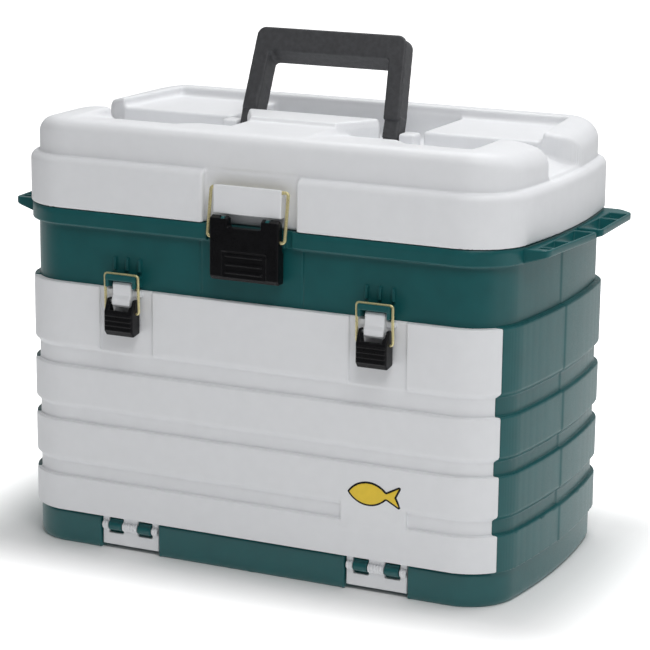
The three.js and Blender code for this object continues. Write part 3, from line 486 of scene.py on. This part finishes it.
def base_moulding():
    """The base with its foot and inner ribs, the seats of the door's hinges and the floor of the bay."""
    grid = Grid((-272, -151, 0), (272, 151, CASE["floor"]), 1.3)
    plan = plan_distance(grid.x, grid.y) + BASE["inset"]
    foot = clip(plan + 0 * grid.z, (plan + (3.4 - grid.z) * 0.9) / 1.35, 2)
    solid = clip(foot, grid.z - CASE["base_top"], 1.0)
    hollow = clip(plan + BASE["wall"], grid.z - CASE["base_top"] + SKIN, 4)
    field = cut(solid, hollow, 0.5)
    half = BASE["rib_half"]
    ribs = np.minimum(slab(grid.x, -half, half), slab(grid.y, -half, half))
    field = np.minimum(field, clip(clip(ribs, plan + 2), slab(grid.z, 0, CASE["base_top"] - 1), 0.5))
    for side in (-1, 1):
        x = side * LATCH_X
        seat = slab(grid.x, x - SEAT["half"], x + SEAT["half"])
        seat = clip(seat, slab(grid.y, SEAT["front"], SEAT["back"]))
        seat = clip(seat, slab(grid.z, SEAT["low"], SEAT["high"]), 0.8)
        across = slab(grid.x, x - SEAT_POCKET["half"], x + SEAT_POCKET["half"])
        pocket = clip(across, grid.y - SEAT_POCKET["back"], 0.6)
        deep = clip(clip(across, grid.y - SEAT["back"] + SKIN), grid.z - SEAT_POCKET["top"], 1.0)
        field = cut(cut(join(field, seat), pocket, 0.8), deep, 0.8)
    inside = plan_distance(grid.x, grid.y) + GROOVE
    floor = clip(clip(inside, DOOR_SEAM_Y - grid.y), slab(grid.z, CASE["base_top"] - 1, CASE["floor"]), 0.4)
    dress(field_mesh("base_moulding", grid, join(field, floor)), "green", "body", "body_shell")


SIDE_STEP = {"y": -13, "depth": 0.9, "softness": 1.2}


def side_step(grid):
    """How far the sides stand back in front of their vertical step."""
    return SIDE_STEP["depth"] * (1 - np.tanh((grid.y - SIDE_STEP["y"]) / SIDE_STEP["softness"])) / 2


def case_moulding():
    """Rear and side walls of the drawer bay, with their bands, the front frame and the shelf on top."""
    grid = Grid((-276, DOOR_SEAM_Y, CASE["base_top"]), (276, 155, CASE["door_top"]), 1.5)
    plan = plan_distance(grid.x, grid.y) + side_step(grid)
    skin = banded(grid, plan, CASE["base_top"] - 10)
    skin = clip(skin, DOOR_SEAM_Y + 0.4 - grid.y, 0.8)
    room = clip(clip(skin + SKIN, ROOM_FRONT - grid.y), grid.z - CASE["shelf"] + 1)
    mouth = clip(np.abs(grid.x) - MOUTH["half"], grid.y - MOUTH["rear"])
    mouth = clip(clip(mouth, grid.z - MOUTH["top"]), CASE["floor"] - grid.z)
    field = cut(skin, np.minimum(room, mouth), 0.4)
    field = clip(field, slab(grid.z, CASE["base_top"], CASE["door_top"] + 0.7))
    dress(field_mesh("case_moulding", grid, field), "green", "body")


# Grooves frame the main latch's panel, and notches in the rim leave room for its bail.
PANEL_LINE = {"from": 54.4, "to": 56, "low": 272, "high": 331, "floor": -147.2}
NOTCH = {"from": 38.6, "to": 46, "front": -160, "rear": -150}


def upper_moulding():
    """Walls of the top compartment and its rim. The step in the sides fades out towards the front."""
    grid = Grid((-276, -156, CASE["shelf"]), (276, 156, CASE["rim_top"]), 1.25)
    plan = plan_distance(grid.x, grid.y)
    ax = np.abs(grid.x)
    stepped = plan + UPPER_INSET + side_step(grid) * (1 + np.tanh((ax - 250) / 6)) / 2
    wall = clip(stepped + 0 * grid.z, slab(grid.z, CASE["shelf"], CASE["rim_top"] + 9))
    groove = clip(slab(ax, PANEL_LINE["from"], PANEL_LINE["to"]), grid.y - PANEL_LINE["floor"])
    wall = cut(wall, clip(groove, slab(grid.z, PANEL_LINE["low"], PANEL_LINE["high"])), 0.3)
    rim = clip(clip(plan, CASE["rim_bottom"] - grid.z, 1.6), grid.z - CASE["rim_top"], 1.6)
    outer = join(wall, rim, 1.6)
    inner = clip(stepped + SKIN, CASE["shelf"] + 3.4 - grid.z, 3)
    field = clip(cut(outer, inner, 0.8), grid.z - CASE["rim_top"], 0.6)
    notch = clip(slab(ax, NOTCH["from"], NOTCH["to"]), slab(grid.y, NOTCH["front"], NOTCH["rear"]))
    dress(field_mesh("upper_moulding", grid, cut(field, notch, 0.5)), "green", "body")


RACK = {"top": 348, "lip": 341.5, "bottom": 333.2, "wall": 3, "root": 262, "slot_root": 277}
RACK_REACH = 301.5
# The outer edge's two ends as (x, y), then what lies between which y: the rack and its slots.
RACK_SHAPES = [
    {
        "edge": [(290.5, -107), (300, -3.4)],
        "ends": (-112, -3.4),
        "slots": [(-104, -97), (-93.5, -62), (-58.5, -6.6)],
    },
    {
        "edge": [(300.6, 9.8), (297.6, 102)],
        "ends": (9.8, 122),
        "slots": [(13, 66.5), (70, 99.5)],
    },
]


def rack_field(grid, x, shape):
    """Half a bait rack with its slots, where x is measured outwards from the middle of the box."""
    (x0, y0), (x1, y1) = shape["edge"]
    length = math.hypot(x1 - x0, y1 - y0)
    beyond = ((x - x0) * (y1 - y0) - (grid.y - y0) * (x1 - x0)) / length
    low_end, high_end = shape["ends"]
    across = clip(slab(grid.y, low_end, high_end), beyond, 4)
    if low_end < 0:
        across = clip(across, (beyond * 0.9 - (grid.y - y0 + 3)) / 1.35, 4)
    else:
        across = clip(across, (beyond * 0.9 + (grid.y - 108)) / 1.35, 4)
    under = (RACK["lip"] + 0.32 * beyond - grid.z) / 1.05
    body = clip(clip(across, grid.z - RACK["top"], 1.2), under, 1.0)
    body = clip(body, RACK["root"] - x)
    for slot in shape["slots"]:
        opening = clip(clip(slab(grid.y, *slot), beyond + RACK["wall"], 1.2), RACK["slot_root"] - x, 1.2)
        body = cut(body, opening + 0 * grid.z, 0.8)
    return body


def bait_racks():
    for name, side in SIDES.items():
        low, high = sorted((side * RACK["root"], side * RACK_REACH))
        grid = Grid((low, -116, RACK["bottom"] - 1), (high, 126, RACK["top"]), 0.8)
        x = grid.x * side
        field = np.minimum(*[rack_field(grid, x, shape) for shape in RACK_SHAPES])
        dress(field_mesh(f"{name}_bait_rack", grid, field), "green", "body")


KEEPER = {"half": 16.6, "post_in": 13.6, "front": -165, "wall": -146, "low": 278}
KEEPER_BAR = (285, 291)
KEEPER_RIB = [(-146, 291), (-151.4, 293), (-150.6, 305), (-146, 307)]


def keepers():
    """Catches for the small bails, with three short ribs over each."""
    for name, side in SIDES.items():
        x = side * LATCH_X
        grid = Grid((x - 17.5, -165.5, 277), (x + 17.5, -146.5, 307), 0.5)
        half, front, wall = KEEPER["half"], KEEPER["front"], KEEPER["wall"]
        bar = box(grid, (x - half, x + half), (front, front + 3), KEEPER_BAR, 0.9)
        shelf = box(grid, (x - half, x + half), (front + 1, wall), (KEEPER_BAR[0], 287.6), 0.8)
        field = join(bar, shelf, 1.2)
        for post in (-1, 1):
            reach = sorted((x + post * KEEPER["post_in"], x + post * half))
            field = join(field, box(grid, reach, (front, wall), (KEEPER["low"], 289.3), 0.9), 0.8)
        for offset in (-14, 0, 14):
            rib = prism_x(grid, (x + offset - 1.5, x + offset + 1.5), KEEPER_RIB, 0.6)
            field = np.minimum(field, rib)
        dress(field_mesh(f"{name}_keeper", grid, field), "green", "body")


MAIN = {"half": 37, "pivot": (-160, 356.5), "bottom": 298, "front": -165, "bail_z": 339.5}


MAIN_LUG = {"inner": 22, "outer": 26, "radius": 3.8}


def main_latch_lugs():
    """Two lugs on the rim that carry the main lever."""
    y, z = MAIN["pivot"]
    web = [(-152, 335), (-152, 349.6), (-155.8, 354), (y, z + 2), (y - 3.4, z - 2)]
    web += [(-157, 341), (-154.5, 335)]
    grid = Grid((-26.5, y - 5, 334), (26.5, -151.5, z + 5), 0.45)
    field = None
    for side in (-1, 1):
        reach = sorted((side * MAIN_LUG["inner"], side * MAIN_LUG["outer"]))
        barrel = bar_x(grid, reach, y, z, MAIN_LUG["radius"], 0.5)
        lug = join(barrel, prism_x(grid, reach, web, 0.5), 1.0)
        field = lug if field is None else np.minimum(field, lug)
    dress(field_mesh("main_latch_lugs", grid, field), "green", "body")


# ---------------------------------------------------------------- front door
DOOR_HINGE = {"y": -146, "z": 25, "radius": 5.2}
PLATE = {"half": 32.5, "bottom": 4.5, "top": 38, "front": -147, "back": -143.6}
WINDOW = {"from": 8.5, "to": 25, "low": 17, "high": 33.4}  # the two windows in each hinge plate
RING_PITCH, RING_DEPTH = 3.2, 0.35


def front_door():
    """The door with its bands, the smooth pad for the print and the channels of the two small latches."""
    low, high = node_box("front_door")
    grid = Grid((low[0], FRONT, DOOR_BOTTOM), (high[0], DOOR_SEAM_Y, CASE["door_top"]), 1.0)
    plan = plan_distance(grid.x, grid.y)
    skin = banded(grid, plan, DOOR_BOTTOM - 20)
    label = clip(slab(grid.x, LABEL["from"], LABEL["to"]), slab(grid.z, LABEL["low"], LABEL["high"]))
    skin = join(skin, clip(label, plan, 1.0), 1.5)
    shell = clip(skin, -(skin + SKIN))
    band = slab(grid.z, BANDS[3][0] - 3, CASE["door_top"])
    offset = np.abs(grid.x) - LATCH_X
    backing = clip(clip(np.abs(offset) - 33, slab(grid.y, -152, CHANNEL_FLOOR + SKIN)), band)
    channel = clip(clip(np.abs(offset) - CHANNEL_HALF, grid.y - CHANNEL_FLOOR, 1.5), 205 - grid.z, 1)
    shell = cut(join(shell, backing), channel, 1.2)
    shell = clip(shell, grid.y - DOOR_SEAM_Y, 0.5)
    shell = clip(shell, slab(grid.z, DOOR_BOTTOM, CASE["door_top"]), 1.0)
    dress(field_mesh("door_moulding", grid, shell), "ivory", "door", "front_door")


def door_hinges():
    """Plates with two windows each on the door, and the knuckles on the base that show through them."""
    y, z, radius = DOOR_HINGE["y"], DOOR_HINGE["z"], DOOR_HINGE["radius"]
    half = PLATE["half"]
    for name, side in SIDES.items():
        centre = side * LATCH_X
        grid = Grid((centre - half, -152.5, PLATE["bottom"]), (centre + half, y + 11, 37), 0.5)
        across = grid.x - centre
        reach = (centre - half, centre + half)
        plate = box(grid, reach, (PLATE["front"], PLATE["back"]), (PLATE["bottom"], PLATE["top"]), 1.0)
        web = box(grid, reach, (-152, PLATE["back"]), (DOOR_BOTTOM, 37.4), 0.6)
        plate = join(plate, web, 0.8)
        around = slab(np.abs(across), WINDOW["from"], WINDOW["to"])
        hole = clip(around, slab(grid.z, WINDOW["low"], WINDOW["high"]), 1.2)
        barrel = clip(np.hypot(grid.y - y, grid.z - z) - radius + 0.2, np.abs(across) - half, 0.5)
        rings = RING_DEPTH * np.clip(np.cos(across * 2 * math.pi / RING_PITCH) * 1.6, -1, 1)
        field = join(cut(plate, hole, 0.6), clip(barrel + RING_DEPTH + rings, -(around + 0 * grid.z)), 0.4)
        field = clip(field, np.abs(across) - half, 0.6)
        dress(field_mesh(f"{name}_hinge_plate", grid, field), "ivory", "door")
        knuckle = np.hypot(grid.y - y, grid.z - z) - radius
        arm = clip(slab(grid.y, y - 1, y + 11), slab(grid.z, z + 3.4, z + 6.6))
        field = clip(join(knuckle, arm, 1.0), around + 0.8 + 0 * grid.z, 0.6)
        dress(field_mesh(f"{name}_base_knuckles", grid, field), "green", "body")


def lever_blocks():
    """The raised cross in each latch channel that carries the small lever."""
    for name, side in SIDES.items():
        x = side * LATCH_X
        grid = Grid((x - 19, -164.5, 255), (x + 19, -150, 284), 0.45)
        side_view = [(-150.4, 256), (-160, 258), (-164, 261), (-164, 266), (-161.5, 270)]
        side_view += [(-161.5, 281), (-160, 283), (-152, 283), (-150.4, 274)]
        post = prism_x(grid, (x - 10.3, x + 10.3), side_view, 1.2)
        bar = box(grid, (x - 18.5, x + 18.5), (-156.4, -150.2), (268.6, 274.7), 1.0)
        dress(field_mesh(f"{name}_latch_block", grid, join(post, bar, 1.0)), "ivory", "door")


EMBLEM = {"z": 102, "half_width": 30, "half_height": 13, "scale": 1.15}
EMBLEM_LAYERS = [("emblem_edge", "black", 1.6, 0.5), ("emblem", "print", 0.0, 0.8)]


def emblem():
    """A plain yellow fish with a dark edge on the smooth pad of the door."""
    centre_x, centre_z = (LABEL["from"] + LABEL["to"]) / 2, EMBLEM["z"]
    wide, high = EMBLEM["half_width"], EMBLEM["half_height"]
    low = (centre_x - wide, FRONT - 0.9, centre_z - high)
    grid = Grid(low, (centre_x + wide, FRONT + 0.6, centre_z + high), 0.35)
    u, v = (grid.x - centre_x) / EMBLEM["scale"], (grid.z - centre_z) / EMBLEM["scale"]
    body = np.maximum(np.hypot(u + 4, v + 12) - 21, np.hypot(u + 4, v - 12) - 21)
    tail = outline_distance(u, v, [(9, 0), (24, 8), (20, 0), (24, -8)])
    fish = join(body, tail, 2)
    for name, finish, border, depth in EMBLEM_LAYERS:
        field = clip(fish - border, slab(grid.y, FRONT - depth, FRONT + 0.4), 0.2)
        dress(field_mesh(name, grid, field), finish, "door")


# ---------------------------------------------------------------- latches
GRIP_RIBS = (306.6, 314.5, 323)


def main_lever():
    """The big lever: hollow behind, with a window for the hook, slots for the lugs and three grip ribs."""
    half, front, bottom = MAIN["half"], MAIN["front"], MAIN["bottom"]
    y, z = MAIN["pivot"]
    grid = Grid((-half, front - 1.2, bottom), (half, -151.5, z + 5), 0.55)
    side_view = [(front, bottom + 4), (front + 3, bottom), (-152, bottom), (-152, 328), (-154.8, 331)]
    side_view += [(-154.8, 351.6), (y + 4.6, z + 1.6), (y, z + 4.6), (front + 0.6, z + 2), (front, z - 3)]
    field = prism_x(grid, (-half, half), side_view, 1.6)
    hollow = box(grid, (-half + 3, half - 3), (front + 3.2, -140), (bottom + 4, 348), 1)
    window = box(grid, (-18, 18), (-180, -140), (350, 370), 2)
    field = cut(cut(field, hollow, 0.4), window, 0.8)
    for side in (-1, 1):
        slot = sorted((side * 21.5, side * 26.5))
        field = cut(field, box(grid, slot, (front + 1.1, -140), (346, 370), 0.8), 0.3)
        field = cut(field, box(grid, slot, (front + 3.2, -140), (330, 370), 0.8), 0.5)
    dish = box(grid, (-24, 24), (front - 3, front + 1.0), (302, 327), 1.0)
    field = cut(field, dish, 0.6)
    for height in GRIP_RIBS:
        rib = box(grid, (-20, 20), (front - 0.9, front + 1.6), (height - 1.2, height + 1.2), 0.8)
        field = join(field, rib, 0.5)
    dress(field_mesh("main_lever_moulding", grid, field), "black", "main_lever", "main_latch_lever")


SMALL = {"half": 16, "pivot": (-160, 263.5), "bottom": 229.5, "front": -169, "bail_z": 252.5}
SMALL_BAR = (-161.2, 291.2)
SMALL_WIRE = 1.4
SMALL_RIBS = (236, 241, 246, 251)


def small_levers():
    """The two small levers: hollow behind, open at the top for the block and with four grip ribs."""
    front, bottom, half = SMALL["front"], SMALL["bottom"], SMALL["half"]
    y, z = SMALL["pivot"]
    side_view = [(front, bottom + 5), (front + 4, bottom), (-153, bottom + 2), (-153, 250), (-156, 257)]
    side_view += [(y + 4, z), (y + 2.6, z + 3.2), (y - 2.6, z + 3.2), (front + 3, 260), (front, 254)]
    for name, side in SIDES.items():
        x = side * LATCH_X
        grid = Grid((x - half, front - 1.2, bottom), (x + half, -152.5, z + 4), 0.45)
        field = prism_x(grid, (x - half, x + half), side_view, 1.4)
        inside = (x - half + 3, x + half - 3)
        field = cut(field, box(grid, inside, (front + 3.4, -140), (bottom + 4, 280), 0.8), 0.4)
        field = cut(field, box(grid, (x - 10.8, x + 10.8), (-180, -140), (255.6, 280), 0.8), 0.6)
        grip = (x - half + 1, x + half - 1)
        for height in SMALL_RIBS:
            rib = box(grid, grip, (front - 1.0, front + 1), (height - 1.3, height + 1.3), 0.9)
            field = join(field, rib, 0.4)
        node = f"{name}_latch_lever"
        dress(field_mesh(f"{name}_lever_moulding", grid, field), "black", f"{name}_lever", node)


def bail(name, body, x, half, inner, foot, bar, radius):
    """A bent wire: its ends turn into the lever and its cross bar hooks over the catch."""
    right = [(inner, *foot), (half, *foot), (half, *bar)]
    corners = right + [(-dx, y, z) for dx, y, z in reversed(right)]
    path = rounded_path([(x + dx, y, z) for dx, y, z in corners], 2.2 * radius)
    dress(wire(f"{body}_wire", path, radius), "brass", body, name)


# ---------------------------------------------------------------- handle
HANDLE = {"y": 4.7, "z": 417, "lean": 18.7, "length": 105.6, "foot_half": 88.8, "top_half": 82.6}
THICKNESS, LEG, BAR = 23.5, 17.5, 23.5
FOOT = {"inner": 18, "outer": 0.6, "radius": 7}


def handle():
    """Built upright and then leant back: x across, y from front to back, z from its pivot up."""
    length, depth = HANDLE["length"], THICKNESS
    grid = Grid((-89.5, -depth / 2, -6.5), (89.5, depth / 2, length), 0.9)
    ax = np.abs(grid.x)
    narrowing = (HANDLE["foot_half"] - HANDLE["top_half"]) / length
    outer = HANDLE["foot_half"] - narrowing * grid.z
    back = slab(grid.y, -depth / 2, depth / 2)
    front_outline = clip(ax - outer, grid.z - length, 9)
    lower_top = clip(ax - outer + 0.9, grid.z - length + 1.2, 10)
    groove = slab(grid.y, -depth / 2 + 3.0, -depth / 2 + 4.4)
    outline = np.where(grid.y < -depth / 2 + 3.6, front_outline, lower_top)
    solid = clip(outline, back, 1.8)
    solid = cut(solid, clip(groove, -(front_outline + 1.8)), 0.3)
    under = grid.z - length + BAR + (grid.y + depth / 2) * 10 / depth
    gap = clip(ax - outer + LEG, under, 4)
    solid = cut(solid, gap, 1.8)
    solid = clip(solid, 20 - grid.z, 1.5)
    reach = slab(ax, HANDLE["foot_half"] - FOOT["inner"], HANDLE["foot_half"] - FOOT["outer"])
    foot = clip(clip(reach, slab(grid.y, -9.5, 7.4), 1.2), slab(grid.z, 2, 24))
    pivot = clip(np.hypot(grid.y, grid.z) - FOOT["radius"], reach, 1.2)
    piece = field_mesh("handle_moulding", grid, join(join(solid, foot, 0.5), pivot, 0.5))
    lean = Matrix.Rotation(math.radians(-HANDLE["lean"]), 4, "X")
    piece.data.transform(Matrix.Translation((0, HANDLE["y"] * MM, HANDLE["z"] * MM)) @ lean)
    dress(piece, "charcoal", "handle", "handle")


# ---------------------------------------------------------------- carried-over CAD nodes
def soften(node, finish, width):
    """Gives a CAD node its material and small rounded edges."""
    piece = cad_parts[node]
    piece.data.materials.clear()
    piece.data.materials.append(MATERIALS[finish])
    flatten = piece.modifiers.new("flatten", "DECIMATE")
    flatten.decimate_type = "DISSOLVE"
    flatten.angle_limit = math.radians(1)
    bevel = piece.modifiers.new("edges", "BEVEL")
    bevel.width = width * MM
    bevel.segments = 2
    bevel.limit_method = "ANGLE"
    bevel.angle_limit = math.radians(35)
    normals = piece.modifiers.new("normals", "WEIGHTED_NORMAL")
    normals.keep_sharp = True


def carried_nodes():
    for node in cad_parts:
        if node.endswith("_pin"):
            soften(node, "steel", 0.3)
        elif node.endswith("runner_panel"):
            soften(node, "green", 0.5)
        elif node == "lift_out_tray":
            soften(node, "ivory", 0.8)
        elif node.startswith(("drawer_", "tray_divider")):
            soften(node, "drawer", 0.6)


# ---------------------------------------------------------------- studio
CAMERA = {"azimuth": 25.357, "elevation": 13.52, "roll": 0.627, "lens": 134.8, "sensor": 36}
CAMERA_PLACE = (1.0481, -2.1922, 0.8057)
LIGHT_TARGET = (0, 0, 0.25)


def add_camera():
    azimuth, elevation = math.radians(CAMERA["azimuth"]), math.radians(CAMERA["elevation"])
    level = math.cos(elevation)
    toward = Vector((-math.sin(azimuth) * level, math.cos(azimuth) * level, -math.sin(elevation)))
    right = Vector((math.cos(azimuth), math.sin(azimuth), 0))
    up = right.cross(toward)
    roll = math.radians(CAMERA["roll"])
    across = math.cos(roll) * right + math.sin(roll) * up
    above = -math.sin(roll) * right + math.cos(roll) * up
    data = bpy.data.cameras.new("camera")
    data.lens = CAMERA["lens"]
    data.sensor_width = CAMERA["sensor"]
    camera = bpy.data.objects.new("camera", data)
    camera.matrix_world = Matrix((across, above, -toward)).transposed().to_4x4()
    camera.location = CAMERA_PLACE
    bpy.context.scene.collection.objects.link(camera)
    bpy.context.scene.camera = camera


def add_light(name, place, size, power):
    data = bpy.data.lights.new(name, "AREA")
    data.shape = "RECTANGLE"
    data.size, data.size_y = size
    data.energy = power
    light = bpy.data.objects.new(name, data)
    light.location = place
    light.rotation_euler = (Vector(LIGHT_TARGET) - Vector(place)).to_track_quat("-Z", "Y").to_euler()
    bpy.context.scene.collection.objects.link(light)


def add_world():
    """A pale room that is brightest behind the object."""
    world = bpy.data.worlds.new("studio")
    bpy.context.scene.world = world
    world.use_nodes = True
    tree = world.node_tree
    background = tree.nodes["Background"]
    place = tree.nodes.new("ShaderNodeTexCoord")
    split = tree.nodes.new("ShaderNodeSeparateXYZ")
    link(tree, place, "Generated", split, "Vector")
    level = tree.nodes.new("ShaderNodeMapRange")
    level.inputs["From Min"].default_value = -0.5
    level.inputs["From Max"].default_value = 0.5
    level.inputs["To Min"].default_value = 0.14
    level.inputs["To Max"].default_value = 0.45
    link(tree, split, "Y", level, "Value")
    rays = tree.nodes.new("ShaderNodeLightPath")
    seen = tree.nodes.new("ShaderNodeMix")
    seen.inputs["B"].default_value = 1.0
    link(tree, rays, "Is Camera Ray", seen, "Factor")
    link(tree, level, "Result", seen, "A")
    link(tree, seen, "Result", background, "Strength")
    background.inputs["Color"].default_value = (0.985, 0.99, 1.0, 1)


def value_map(tree, source, out, lows, highs):
    """Maps the range lows onto the range highs, smoothly."""
    node = tree.nodes.new("ShaderNodeMapRange")
    node.interpolation_type = "SMOOTHSTEP"
    node.inputs["From Min"].default_value, node.inputs["From Max"].default_value = lows
    node.inputs["To Min"].default_value, node.inputs["To Max"].default_value = highs
    link(tree, source, out, node, "Value")
    return node


FLOOR = {"half": (0.27, 0.15, 0), "fade": (0.0, 0.2), "glow": 0.22, "dark": 0.02}
FLOOR_DARKENS = (-0.45, -1.0)  # from where to where, in front of the box
FLOOR_REACH = 30


def floor_shading(material):
    """Paper that fades into the bright room just outside the box's shadow.

    Far out in front it is dark for the box's own reflections, like the edge of a table.
    """
    tree = material.node_tree
    place = tree.nodes.new("ShaderNodeTexCoord")
    outside = place
    out = "Object"
    steps = [("ABSOLUTE", None), ("SUBTRACT", FLOOR["half"]), ("MAXIMUM", (0, 0, 0)), ("LENGTH", None)]
    for operation, value in steps:
        node = tree.nodes.new("ShaderNodeVectorMath")
        node.operation = operation
        link(tree, outside, out, node, 0)
        if value is not None:
            node.inputs[1].default_value = value
        outside, out = node, "Vector"
    fade = value_map(tree, outside, "Value", FLOOR["fade"], (0, 1))
    rays = tree.nodes.new("ShaderNodeLightPath")
    strength = tree.nodes.new("ShaderNodeMix")
    strength.inputs["A"].default_value = FLOOR["glow"]
    link(tree, rays, "Is Camera Ray", strength, "Factor")
    link(tree, fade, "Result", strength, "B")
    shader = tree.nodes["Principled BSDF"]
    shader.inputs["Emission Color"].default_value = (1, 1, 1, 1)
    link(tree, strength, "Result", shader, "Emission Strength")
    split = tree.nodes.new("ShaderNodeSeparateXYZ")
    link(tree, place, "Object", split, "Vector")
    ahead = value_map(tree, split, "Y", FLOOR_DARKENS, (0, 1))
    hidden = tree.nodes.new("ShaderNodeMath")
    hidden.operation = "MULTIPLY"
    link(tree, ahead, "Result", hidden, 0)
    link(tree, rays, "Is Glossy Ray", hidden, 1)
    dark = tree.nodes.new("ShaderNodeEmission")
    dark.inputs["Strength"].default_value = FLOOR["dark"]
    mix = tree.nodes.new("ShaderNodeMixShader")
    link(tree, hidden, "Value", mix, "Fac")
    link(tree, shader, "BSDF", mix, 1)
    link(tree, dark, "Emission", mix, 2)
    link(tree, mix, "Shader", tree.nodes["Material Output"], "Surface")


def add_floor():
    mesh = bpy.data.meshes.new("floor")
    reach = FLOOR_REACH
    corners = [(-reach, -reach, 0), (reach, -reach, 0), (reach, reach, 0), (-reach, reach, 0)]
    mesh.from_pydata(corners, [], [(0, 1, 2, 3)])
    floor = bpy.data.objects.new("floor", mesh)
    bpy.context.scene.collection.objects.link(floor)
    paper = (0.93, 0.93, 0.93)
    material = finish_material("floor_paper", paper, 0.8, (900, 0.004), 3, 0.01, specular=0.1)
    floor_shading(material)
    mesh.materials.append(material)


def studio():
    add_world()
    add_floor()
    add_light("overhead", (0.2, 0.5, 2.4), (2.2, 1.6), 32)
    add_light("front", (0.8, -1.2, 1.9), (1.0, 0.9), 16)
    add_camera()
    bpy.context.scene.view_settings.view_transform = "Standard"


# ---------------------------------------------------------------- assembly
lid_shell()
lid_tab()
lid_hinges()
base_moulding()
case_moulding()
upper_moulding()
bait_racks()
keepers()
main_latch_lugs()
front_door()
door_hinges()
lever_blocks()
emblem()
main_lever()
small_levers()
bail("main_latch_bail", "main_bail", 0, 41.5, 34.6, (-160, MAIN["bail_z"]), MAIN_BAR, MAIN_WIRE)
for side_name, side_sign in SIDES.items():
    foot_place = (SMALL["pivot"][0], SMALL["bail_z"])
    latch, rider = f"{side_name}_latch_bail", f"{side_name}_bail"
    bail(latch, rider, side_sign * LATCH_X, 18.6, 13.6, foot_place, SMALL_BAR, SMALL_WIRE)
handle()
carried_nodes()
studio()
